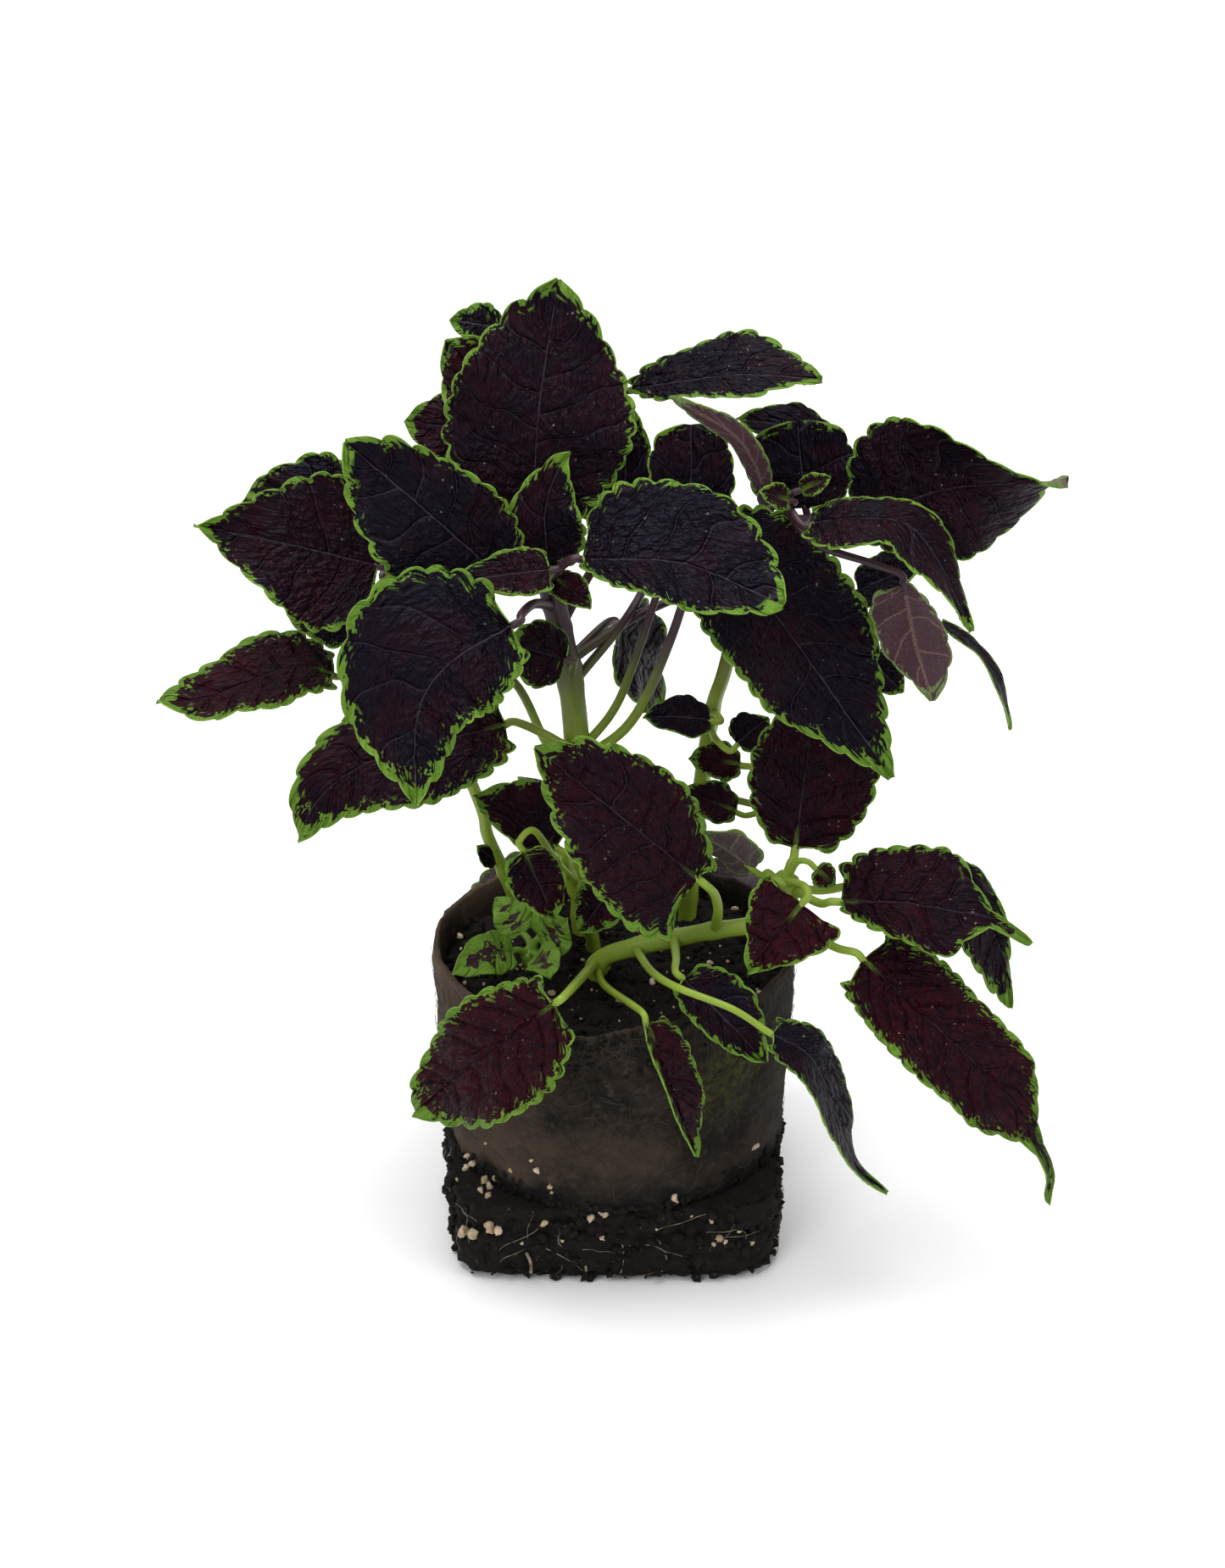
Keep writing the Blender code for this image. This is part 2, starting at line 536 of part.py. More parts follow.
         [at(-4.5, -9, 69), seen(-2.4, 51.5, -22), seen(4, 47, -40)],
         [seen(7.6, 42.4, -50), seen(12, 30, -52), seen(19, 11, -47)], 13,
         face=(0.6, -0.7, 0.3), fold=25, sides=(1.15, 0.4)),
    Leaf("over_rim_middle_leaf", "side_branch", [seen(14, 62.5, -13), seen(14.5, 58, -28)],
         [seen(16.2, 53, -38), seen(35.8, 33.2, -44)], 18, face=(0.3, -0.85, 0.4),
         sides=(0.95, 0.65)),
    Leaf("over_rim_right_leaf", "side_branch",
         [seen(5, 60, -12), seen(9, 54.5, -34), seen(15.2, 50.8, -47), seen(27.6, 46, -53)],
         [seen(37.2, 40, -53), seen(46.5, 34, -50), seen(52.5, 20, -47), seen(57, 8, -46),
          seen(64.4, 2.2, -46)], 14, face=(0.7, -0.6, 0.4), tip_face=(0.8, 0.1, 0.3)),
    # Back of the plant
    Leaf("back_left_leaf", "main_stem", [seen(-14, 142, 3), seen(-20, 147, 14)],
         [seen(-24, 150, 20), seen(-42, 163, 62)], 34, face=(-0.2, 0.35, 0.9)),
    Leaf("back_right_leaf", "main_stem", [seen(-11, 128, 4), seen(4, 138, 12), seen(14.5, 143, 16)],
         [seen(17, 146, 25), seen(37, 156, 64)], 34, face=(0.2, 0.35, 0.9)),
    Leaf("back_middle_leaf", "main_stem", [seen(-11, 128, 4), seen(-3, 136, 12)],
         [seen(1, 136, 18), seen(11, 118, 31)], 26, face=(0.1, -0.55, 0.83)),
    Leaf("back_low_leaf", "main_stem", [seen(-8, 80, 11), seen(-8, 90, 24)],
         [seen(-7, 96, 32), seen(-12, 96, 72)], 28, face=TO_BACK),
    Leaf("rim_back_left_leaf", "main_stem", [at(-7, 13, 71), at(-14, 37, 76.5)],
         [at(-17, 52, 65), at(-24, 56, 50), at(-31, 58, 33)], 28, face=(-0.2, 0.95, 0.2)),
]

# Leaves too small to stand alone. They are one body with the stem that bears them.
SMALL_LEAVES = [
    Leaf("high_tip", "main_stem", [seen(-18.3, 172, 21), seen(-13, 188, 38), seen(-19, 202, 45)],
         [seen(-27, 206.5, 45), seen(-39, 208.4, 45)], 10),
    Leaf("young_tip", "main_stem", [seen(-16, 149, 2)],
         [seen(-14, 147.5, -3), seen(-5.6, 140.4, -13)], 8, face=(0, -0.6, 0.8)),
    Leaf("shoot_tip", "right_stem", [seen(40, 165, 6)],
         [seen(41, 166, 2), seen(34, 168, -5)], 6),
    Leaf("shoot_bud", "right_stem", [seen(40, 165, 6)],
         [seen(44, 168.5, 4), seen(51, 171.5, 3)], 5),
    Leaf("low_tip", "left_stem", [seen(-26, 78, 14)],
         [seen(-28, 80.5, 12), seen(-32.5, 84.5, 9)], 5),
    Leaf("shoot_a", "basal_shoots", [at(-20, -6, 70)],
         [at(-22, -3.5, 75), at(-25.5, -1, 79), at(-28.5, 1.5, 82)], 9),
    Leaf("shoot_b", "basal_shoots", [at(-20, -6, 70)],
         [at(-24.5, -10, 73.5), at(-31, -17, 76), at(-38, -24, 75)], 10),
    Leaf("shoot_c", "basal_shoots", [at(-20, -6, 70)],
         [at(-17.5, -8, 76), at(-14, -11, 80), at(-11.5, -13, 84)], 12),
    Leaf("shoot_d", "basal_shoots", [at(-20, -6, 70)],
         [at(-18.5, -12, 73.5), at(-16.5, -18, 75), at(-15, -24, 74)], 9),
]


def stem_radius(foot, top, share):
    return foot + (top - foot) * share


def build_stem(name, material):
    """A stem with the stalks of its leaves and its small leaves, in one body."""
    points, foot, top = STEMS[name]
    path = smooth_path(points, 2)
    lengths = path_lengths(path)
    radii = [stem_radius(foot, top, length / lengths[-1]) for length in lengths]
    stem = add_object(name, *tube(path, radii, STEM_SIDES, STEM_SQUARE), material)
    grown = []
    for leaf in LEAVES + SMALL_LEAVES:
        if leaf.stem == name:
            small = leaf in SMALL_LEAVES
            grown.append(add_object(leaf.name + "_stalk", *stalk_tube(leaf, small)))
            if small:
                grown.append(add_object(leaf.name, *thicken(*blade_sheet(leaf), BLADE_THICKNESS)))
    join_with_union(stem, grown)
    return stem


def stalk_tube(leaf, into_blade):
    """The leaf's stalk, which ends just short of its blade or runs a little into it."""
    start, tangent, _, _ = leaf.frame(0.0)
    end = start + tangent * STALK_OVERLAP if into_blade else start - tangent * STALK_SHORT
    radius = STALK_RADIUS * (THIN_STALK + (1.0 - THIN_STALK) * min(1.0, leaf.width / WIDE_LEAF))
    points = leaf.stalk + [start - tangent * STALK_APPROACH, end]
    path = smooth_path(points, 1 if len(leaf.stalk) > 1 else 2)
    lengths = path_lengths(path)
    wide, neck = radius * STALK_SWELL, radius * STALK_NECK
    radii = [stem_radius(wide, neck, length / lengths[-1]) for length in lengths]
    return tube(path, radii, STALK_SIDES)


def foot_radius(angle, half):
    """The rounded square of the foot, as a distance from the middle."""
    power = FOOT_CORNER_POWER
    return half / (abs(math.cos(angle)) ** power + abs(math.sin(angle)) ** power) ** (1 / power)


def roughness_at(angle, z, size):
    return size * noise.noise(Vector((3.0 * math.cos(angle), 3.0 * math.sin(angle), z / 9.0)))


def sleeve_radius(z):
    share = (z - FOOT_TOP_Z) / (RIM_Z - FOOT_TOP_Z)
    return SLEEVE_FOOT_RADIUS + (RIM_RADIUS - SLEEVE_FOOT_RADIUS) * share


def ring(radius_of, z_of):
    angles = [math.tau * k / ROUND_STEPS for k in range(ROUND_STEPS)]
    return [at(radius_of(a) * math.cos(a), radius_of(a) * math.sin(a), z_of(a)) for a in angles]


def lathe(rings, first_point=None, last_point=None):
    """Quads between rings. Without end points the last ring is joined to the first one."""
    vertices = [point for one in rings for point in one]
    count = len(rings)
    faces = []
    for i in range(count - 1 if first_point else count):
        low = i * ROUND_STEPS
        high = (i + 1) % count * ROUND_STEPS
        for k in range(ROUND_STEPS):
            n = (k + 1) % ROUND_STEPS
            faces.append((low + k, low + n, high + n, high + k))
    if first_point:
        for point, start in ((first_point, 0), (last_point, (count - 1) * ROUND_STEPS)):
            vertices.append(point)
            middle = len(vertices) - 1
            faces += [(middle, start + k, start + (k + 1) % ROUND_STEPS) for k in range(ROUND_STEPS)]
    return vertices, faces


def soil_clump(angle, z):
    """Lumps that cling to the left side of the foot."""
    turn = math.atan2(math.sin(angle - math.pi), math.cos(angle - math.pi))
    return 3.0 * math.exp(-((turn / 0.22) ** 2) - ((z - 13.0) / 6.0) ** 2)


def build_soil(material):
    """The core inside the sleeve and the squarish foot under it, with a hole for each stem."""
    rings = []
    for z, inset in ((0.0, 2.6), (1.8, 0.4), (6.0, 0.0), (11.0, 0.2), (FOOT_GROOVE_Z, 1.3), (14.5, 0.3),
                     (18.5, 0.3), (FOOT_TOP_Z, 0.8)):
        rough = {0.0: 0.0, FOOT_TOP_Z: 0.5}.get(z, FOOT_ROUGHNESS)
        rings.append(ring(
            lambda a, z=z, i=inset, r=rough: foot_radius(a, FOOT_HALF - i) + roughness_at(a, z, r)
            + (soil_clump(a, z) if r else 0.0),
            lambda a, z=z: z))
    for z in (FOOT_TOP_Z, 43.0, SOIL_TOP_Z - 2.5):
        rings.append(ring(lambda a, z=z: sleeve_radius(z) - CORE_INSET, lambda a, z=z: z))
    for share in (0.94, 0.72, 0.45, 0.2):
        rings.append(ring(
            lambda a, s=share: s * (RIM_RADIUS - CORE_INSET),
            lambda a, s=share: SOIL_TOP_Z + roughness_at(a, 20 * s, SOIL_TOP_ROUGHNESS)))
    soil = add_object("root_ball_soil", *lathe(rings, at(0, 0, 0), at(0, 0, SOIL_TOP_Z)), material)
    holes = [(path[:2], foot) for path, foot, _ in STEMS.values()]
    cutters = []
    for (low, high), radius in holes:
        bottom = low - at(0, 0, GAP + 0.1)
        top = at(high.x, high.y, SOIL_TOP_Z + 4.0)
        wide = radius * 1.12 + GAP
        cutters.append(add_object("stem_hole", *tube([bottom, top], [wide, wide], HOLE_SIDES)))
    for cutter in cutters:
        cut = soil.modifiers.new("stem_hole", "BOOLEAN")
        cut.operation = "DIFFERENCE"
        cut.object = cutter
        cut.solver = "EXACT"
    apply_modifiers(soil)
    for cutter in cutters:
        bpy.data.objects.remove(cutter)
    return soil


def rim_height(angle):
    """The torn upper edge: wavy, and worn lower at the front."""
    front = math.atan2(math.sin(angle + math.pi * 0.56), math.cos(angle + math.pi * 0.56))
    return RIM_Z + roughness_at(angle, 80.0, 1.6) - 2.4 * math.exp(-((front / 0.25) ** 2))


def build_sleeve(material):
    """The tapered ring of pressed fibre. It sits on the foot, round the core."""
    low = FOOT_TOP_Z + GAP
    rings = []
    for share in (0.0, 0.25, 0.5, 0.75, 0.93, 1.0):
        rings.append(ring(
            lambda a, s=share: sleeve_radius(low + (RIM_Z - low) * s)
            + roughness_at(a, 60 * s, SLEEVE_ROUGHNESS),
            lambda a, s=share: low + (rim_height(a) - low) * s))
    for share in (1.0, 0.5, 0.0):
        rings.append(ring(
            lambda a, s=share: sleeve_radius(low + (RIM_Z - low) * s) - SLEEVE_WALL,
            lambda a, s=share: low + (rim_height(a) - low) * s))
    return add_object("fibre_sleeve", *lathe(rings), material)


def build_blade(leaf, material):
    blade = add_object(leaf.name, *thicken(*blade_sheet(leaf), BLADE_THICKNESS), material)
    blade.data.shade_smooth()
    blade.data.set_sharp_from_angle(angle=math.radians(50.0))
    return blade


def main():
    for thing in list(bpy.data.objects):
        bpy.data.objects.remove(thing)
    leaf_material = make_material("leaf", LEAF_COLOUR, 0.5)
    stem_material = make_material("stem", STEM_COLOUR, 0.45)
    shoot_material = make_material("shoot", SHOOT_COLOUR, 0.5)
    build_soil(make_material("soil", SOIL_COLOUR, 0.95))
    build_sleeve(make_material("fibre", SLEEVE_COLOUR, 0.9))
    for name in STEMS:
        build_stem(name, shoot_material if name == "basal_shoots" else stem_material)
    for leaf in LEAVES:
        build_blade(leaf, leaf_material)


main()
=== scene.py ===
"""The looks of a young coleus in its root ball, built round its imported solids.

Every node of the frame is stood for by a finer piece of the same form. Lengths are millimetres
until a mesh is made. at(x, y, z) is a plain place in the frame. seen(across, up, depth) is the
place on the line of sight of someone who looks at the front from a little above, where across and
up are measured on an upright sheet held square to that look, and depth is the plain y. In the
tables of the plant, three bare numbers are such a place.
"""
import json
import math

import bmesh
import bpy
import numpy as np
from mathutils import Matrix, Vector, noise


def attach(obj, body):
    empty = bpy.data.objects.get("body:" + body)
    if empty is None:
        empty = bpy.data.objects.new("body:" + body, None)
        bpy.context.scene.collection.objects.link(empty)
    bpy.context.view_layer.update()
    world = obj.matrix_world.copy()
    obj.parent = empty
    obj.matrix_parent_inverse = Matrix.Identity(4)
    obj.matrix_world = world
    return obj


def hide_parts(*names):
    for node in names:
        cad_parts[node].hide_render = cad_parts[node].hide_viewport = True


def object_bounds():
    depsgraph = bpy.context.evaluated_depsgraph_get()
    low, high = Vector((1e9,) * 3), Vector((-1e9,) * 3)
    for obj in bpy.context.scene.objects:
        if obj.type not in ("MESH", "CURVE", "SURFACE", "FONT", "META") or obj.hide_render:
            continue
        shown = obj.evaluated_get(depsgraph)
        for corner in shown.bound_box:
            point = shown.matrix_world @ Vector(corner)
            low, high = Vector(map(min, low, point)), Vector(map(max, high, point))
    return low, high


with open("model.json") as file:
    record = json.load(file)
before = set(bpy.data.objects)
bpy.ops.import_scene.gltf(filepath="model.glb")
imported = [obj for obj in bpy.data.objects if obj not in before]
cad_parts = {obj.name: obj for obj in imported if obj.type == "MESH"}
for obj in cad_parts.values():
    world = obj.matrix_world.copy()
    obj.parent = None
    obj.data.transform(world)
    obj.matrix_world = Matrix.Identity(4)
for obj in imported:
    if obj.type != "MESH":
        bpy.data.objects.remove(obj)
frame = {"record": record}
cad_low, cad_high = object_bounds()

MM = 0.001

# The look at the front: its tilt, its distance, the height that it is centred on, the picture
LOOK_TILT = math.radians(26.0)
LOOK_DISTANCE = 820.0
LOOK_HEIGHT = 113.0
SHEET_MIDDLE_UP = 99.0
LOOK_ACROSS = -0.5
PICTURE_HEIGHT = 370.0
SENSOR_SIZE = 36.0

# The stage, in metres: the floor, the sky, and each lamp with its place, its width and its power
FLOOR_HALF = 6.0
FLOOR_Z = -0.0002
SKY_STRENGTH = 0.58
LAMPS = (("top_light", (-0.2, 0.3, 2.4), 2.2, 76.0), ("front_light", (-1.2, -2.0, 1.6), 1.2, 20.0),
         ("side_light", (1.6, -0.6, 1.0), 0.9, 8.0))

# Root ball and sleeve
GAP = 0.3
FOOT_HALF = 40.0
FOOT_TOP_Z = 20.0
FOOT_GROOVE_Z = 12.5
FOOT_CORNER_POWER = 7.0
FOOT_ROUGHNESS = 1.5
RIM_RADIUS = 44.0
RIM_Z = 71.5
SLEEVE_FOOT_RADIUS = 41.0
SLEEVE_WALL = 1.7
SLEEVE_ROUGHNESS = 0.9
SLEEVE_PITCH = 60.0
CORE_INSET = 2.7
CORE_RADIUS = RIM_RADIUS - CORE_INSET
MEAN_SLEEVE_RADIUS = 43.0
MEAN_FOOT_RADIUS = 42.0
POLE_RADIUS = 0.01
STREWN_RADIUS = 40.0
SOIL_TOP_Z = 66.5
SOIL_TOP_ROUGHNESS = 2.4
HOLE_BOTTOM_Z = 55.0
STEM_CLEARANCE = 0.6

# Leaf proportions
TOOTH_PITCH = 4.8
TOOTH_DEPTH = 0.09
TOOTH_GROWTH = 1.5
TOOTH_REACH = 0.55
UNEVEN_TEETH = 0.3
FEW_TEETH = 9.9
FEWEST_TEETH = 4
FIRST_ROW = 0.006
LAST_ROW = 0.996
BASE_LOBE = 0.05
LOBE_START = 0.06
LOBE_END = 0.12
PLAIN_BASE = 0.1
STILL_SHARE = 0.4
WAVES = 2.3
FRAME_STEP = 0.04
FORM = (0.55, 1.0)
TAIL_START = 0.5
TAIL_SPAN = 0.25
SIDE_PHASE = 0.35
BLADE_THICKNESS = 0.5
MARGIN_THICKNESS = 0.34
RIB_RELIEF = 0.55
RIB_WIDTH = 0.55
SIDE_RIB_RELIEF = 0.22
SIDE_RIB_WIDTH = 0.09
FULL_RELIEF_WIDTH = 24.0
QUILT = 0.62
CRINKLE = 0.3
RUFFLE = 1.5
POINTED_TIP = 0.8
PINCHED = 0.45
BULGED = 1.15
PLAIN_MARGIN = 0.75
PLAIN_REDNESS = 0.12
VEIN_LEAD = 0.17
TEETH_PER_VEIN = 1.35
VEIN_BEND = 0.45
POINTS_PER_TOOTH = 11

# Stalks and stems
STALK_RADIUS = 1.05
STALK_SWELL = 1.25
STALK_NECK = 0.9
STALK_APPROACH = 2.6
THIN_STALK = 0.62
WIDE_LEAF = 30.0
STEM_SQUARE = 0.085
NODE_SWELL = 0.3
NODE_LENGTH = 1.6
WIDEST_NODE = 1.25
STALK_DEPTH = 2.4
STALK_TAPER = 2.6
STALK_FOOT_SWELL = 0.35

# The middle of the mossy patch of the sleeve, in metres
MOSS_MIDDLE = (0.027, -0.033, 0.053)

# Directions that leaf faces look in
TO_FRONT = (0.0, -0.85, 0.52)
TO_BACK = (0.0, 0.4, 0.9)


def at(x, y, z):
    return np.array((x, y, z), float)


def seen(across, up, depth):
    """The point on a line of sight whose plain y is depth."""
    forward = at(0.0, math.cos(LOOK_TILT), -math.sin(LOOK_TILT))
    upward = at(0.0, math.sin(LOOK_TILT), math.cos(LOOK_TILT))
    middle = at(0.0, 0.0, LOOK_HEIGHT)
    eye = middle - forward * LOOK_DISTANCE
    ray = middle + at(across, 0.0, 0.0) + upward * (up - SHEET_MIDDLE_UP) - eye
    return eye + ray * ((depth - eye[1]) / ray[1])


def spots(table):
    """The places of a table: three bare numbers are a place in sight."""
    return [seen(*place) if isinstance(place, tuple) else place for place in table]


def rooted(x, y, z, clear=STEM_CLEARANCE):
    """The two lowest places of a stem, in its hole in the soil and above the soil."""
    return [at(x, y, HOLE_BOTTOM_Z + clear), at(x, y, z)]


def unit(vectors):
    vectors = np.asarray(vectors, float)
    return vectors / np.maximum(np.linalg.norm(vectors, axis=-1, keepdims=True), 1e-9)


def ease(share):
    inside = np.clip(share, 0.0, 1.0)
    return inside * inside * (3.0 - 2.0 * inside)


def smooth_path(points, per_span=16):
    """A Catmull-Rom curve through the points, as a close polyline."""
    points = np.asarray(points, float)
    ends = np.vstack([2 * points[0] - points[1], points, 2 * points[-1] - points[-2]])
    t = np.arange(per_span)[:, None] / per_span
    spans = []
    for a, b, c, d in zip(ends, ends[1:], ends[2:], ends[3:]):
        curve = 2 * b + (c - a) * t + (2 * a - 5 * b + 4 * c - d) * t**2
        spans.append((curve + (3 * b - a - 3 * c + d) * t**3) / 2)
    return np.vstack(spans + [points[-1]])


def bell(values, width):
    return np.exp(-((values / width) ** 2))


def stacked(*values):
    """One array of places out of arrays of their numbers."""
    return np.stack(np.broadcast_arrays(*values), axis=-1)


def polar(radius, angle, z):
    return stacked(radius * np.cos(angle), radius * np.sin(angle), z)


def turns(count):
    return math.tau * np.arange(count) / count


def path_lengths(path):
    return np.concatenate([[0.0], np.cumsum(np.linalg.norm(np.diff(path, axis=0), axis=1))])


def rough(points, pitch, size, seed=0.0):
    """Smooth noise of a given pitch and size at each point."""
    flat = np.asarray(points, float).reshape(-1, 3) / pitch + seed
    values = np.fromiter((noise.noise(Vector(p)) for p in flat), float, len(flat))
    return size * values.reshape(np.shape(points)[:-1])


def layers(points, *sizes):
    """Noise on noise: each layer has its pitch, its size and perhaps its seed."""
    return sum(rough(points, *layer) for layer in sizes)


class Leaf:
    """One blade: its midrib, its width, and the way its upper face looks at base and tip.

    red runs from 0 on the near-black crown to 1 on the burgundy lower leaves, and margin is the mean
    width of the green margin.
    """

    def __init__(self, name, stalk, rib, width, face=TO_FRONT, tip_face=None, fold=8.0,
                 arch=0.05, curl=0.0, wave=0.042, sides=(1.0, 1.0), form=FORM,
                 plus_form=None, tail=0.0, tail_start=TAIL_START, lobe=BASE_LOBE,
                 red=PLAIN_REDNESS, margin=PLAIN_MARGIN):
        self.name = name
        self.stem = None
        self.stalk = spots(stalk)
        self.width = width
        self.face = unit(face)
        self.tip_face = unit(tip_face or face)
        self.fold = math.radians(fold)
        self.curl = curl
        self.wave = wave
        self.sides = sides
        self.forms = (form, plus_form or form)
        self.tail = tail
        self.tail_start = tail_start
        self.lobe = lobe
        self.red = red
        self.margin = margin
        points = spots(rib)
        if len(points) == 2:
            chord = points[1] - points[0]
            points.insert(1, points[0] + chord * 0.5 + self.face * np.linalg.norm(chord) * arch)
        self.path = smooth_path(points)
        self.lengths = path_lengths(self.path)
        self.length = self.lengths[-1]
        self.teeth = max(FEWEST_TEETH, round(self.length / TOOTH_PITCH))
        self.seed = sum(map(ord, name)) % 97 / 9.7

    def place(self, along):
        """The points at shares of the midrib's length. Below 0 it runs on straight."""
        goal = np.asarray(along) * self.length
        on_path = [np.interp(goal, self.lengths, self.path[:, k]) for k in range(3)]
        start = unit(self.path[1] - self.path[0])
        return np.stack(on_path, axis=-1) + np.minimum(goal, 0.0)[..., None] * start

    def frame(self, along):
        near = np.clip(along, 0.0, 1.0)
        ahead = self.place(np.minimum(near + FRAME_STEP, 1.0))
        tangent = unit(ahead - self.place(np.maximum(near - FRAME_STEP, 0.0)))
        wanted = self.face + (self.tip_face - self.face) * (near * near)[..., None]
        level = np.sum(wanted * tangent, axis=-1, keepdims=True)
        normal = unit(wanted - level * tangent)
        return self.place(along), tangent, np.cross(tangent, normal), normal

    def half_width(self, along, share):
        """The distance from the midrib to the margin, on the side that share is on."""
        inside = np.clip(along, 0.0, 1.0)
        widths = []
        for side, (rise, fall) in zip(self.sides, self.forms):
            peak_at = rise / (rise + fall)
            peak = peak_at**rise * (1 - peak_at) ** fall
            widths.append(side * inside**rise * (1 - inside) ** fall / peak)
        narrowing = 1.0 - self.tail * ease((inside - self.tail_start) / TAIL_SPAN)
        return self.width / 2 * np.where(share > 0, widths[1], widths[0]) * narrowing

    def surface(self, along, share, swell, relief):
        """Points of the blade: share runs from -1 at one margin to 1 at the other."""
        reach = np.abs(share)
        offset = self.half_width(along, share) * reach * (1.0 + swell)
        run = STILL_SHARE + (along - STILL_SHARE) * (1.0 + swell * reach)
        run = run - self.lobe * reach * ease(along / LOBE_START) * np.exp(-along / LOBE_END)
        centre, _, across, normal = self.frame(run)
        half = self.width / 2
        ripple = np.sin(math.tau * (WAVES * along + SIDE_PHASE * (share > 0)))
        lift = math.sin(self.fold) * offset - self.curl * half * (offset / half) ** 3
        lift = lift + self.wave * self.width * ripple * reach * reach + relief
        sideways = np.sign(share) * offset * math.cos(self.fold)
        return centre + across * sideways[..., None] + normal * lift[..., None], normal


def borne_by(stem, leaves):
    for leaf in leaves:
        leaf.stem = stem
    return leaves


# Stems: the path of each, its radius at the foot and at the top
STEMS = {
    "main_stem": ([*rooted(-7, 13, 67), (-8, 92, 9), (-10, 120, 5), (-15, 145, 2), (-17, 152, 2)], 3.4,
        2.5),
    "right_stem": ([*rooted(18, 22, 67), (20, 95, 21), (23, 116, 17), (26, 126, 14), (31, 146, 15),
        (35.6, 162, 15), (35.8, 169, 16)], 2.2, 1.4),
    "left_stem": ([*rooted(-23, 17, 67), (-26, 78, 14), (-30, 87, 11), (-32, 95, 10), (-44, 122, 10),
        (-52, 140, 10), (-54, 149, 12)], 1.6, 1.1),
    "middle_stem": ([*rooted(-5, 2, 67), (-6.5, 67, 0), (-10.6, 77, -3), (-12.2, 82, -4)], 1.8, 1.3),
    "side_branch": ([*rooted(-4.5, -9, 66), (-2.5, 58, -9.5), (4.4, 60.4, -11), (21, 64, -14),
        (33, 66, -16), (38.5, 70, -17), (40.5, 77, -18)], 2.5, 2.0),
    "basal_shoots": ([*rooted(-20, -6, 68.5, 3.0), at(-20.5, -7, 72)], 1.7, 1.5),
}

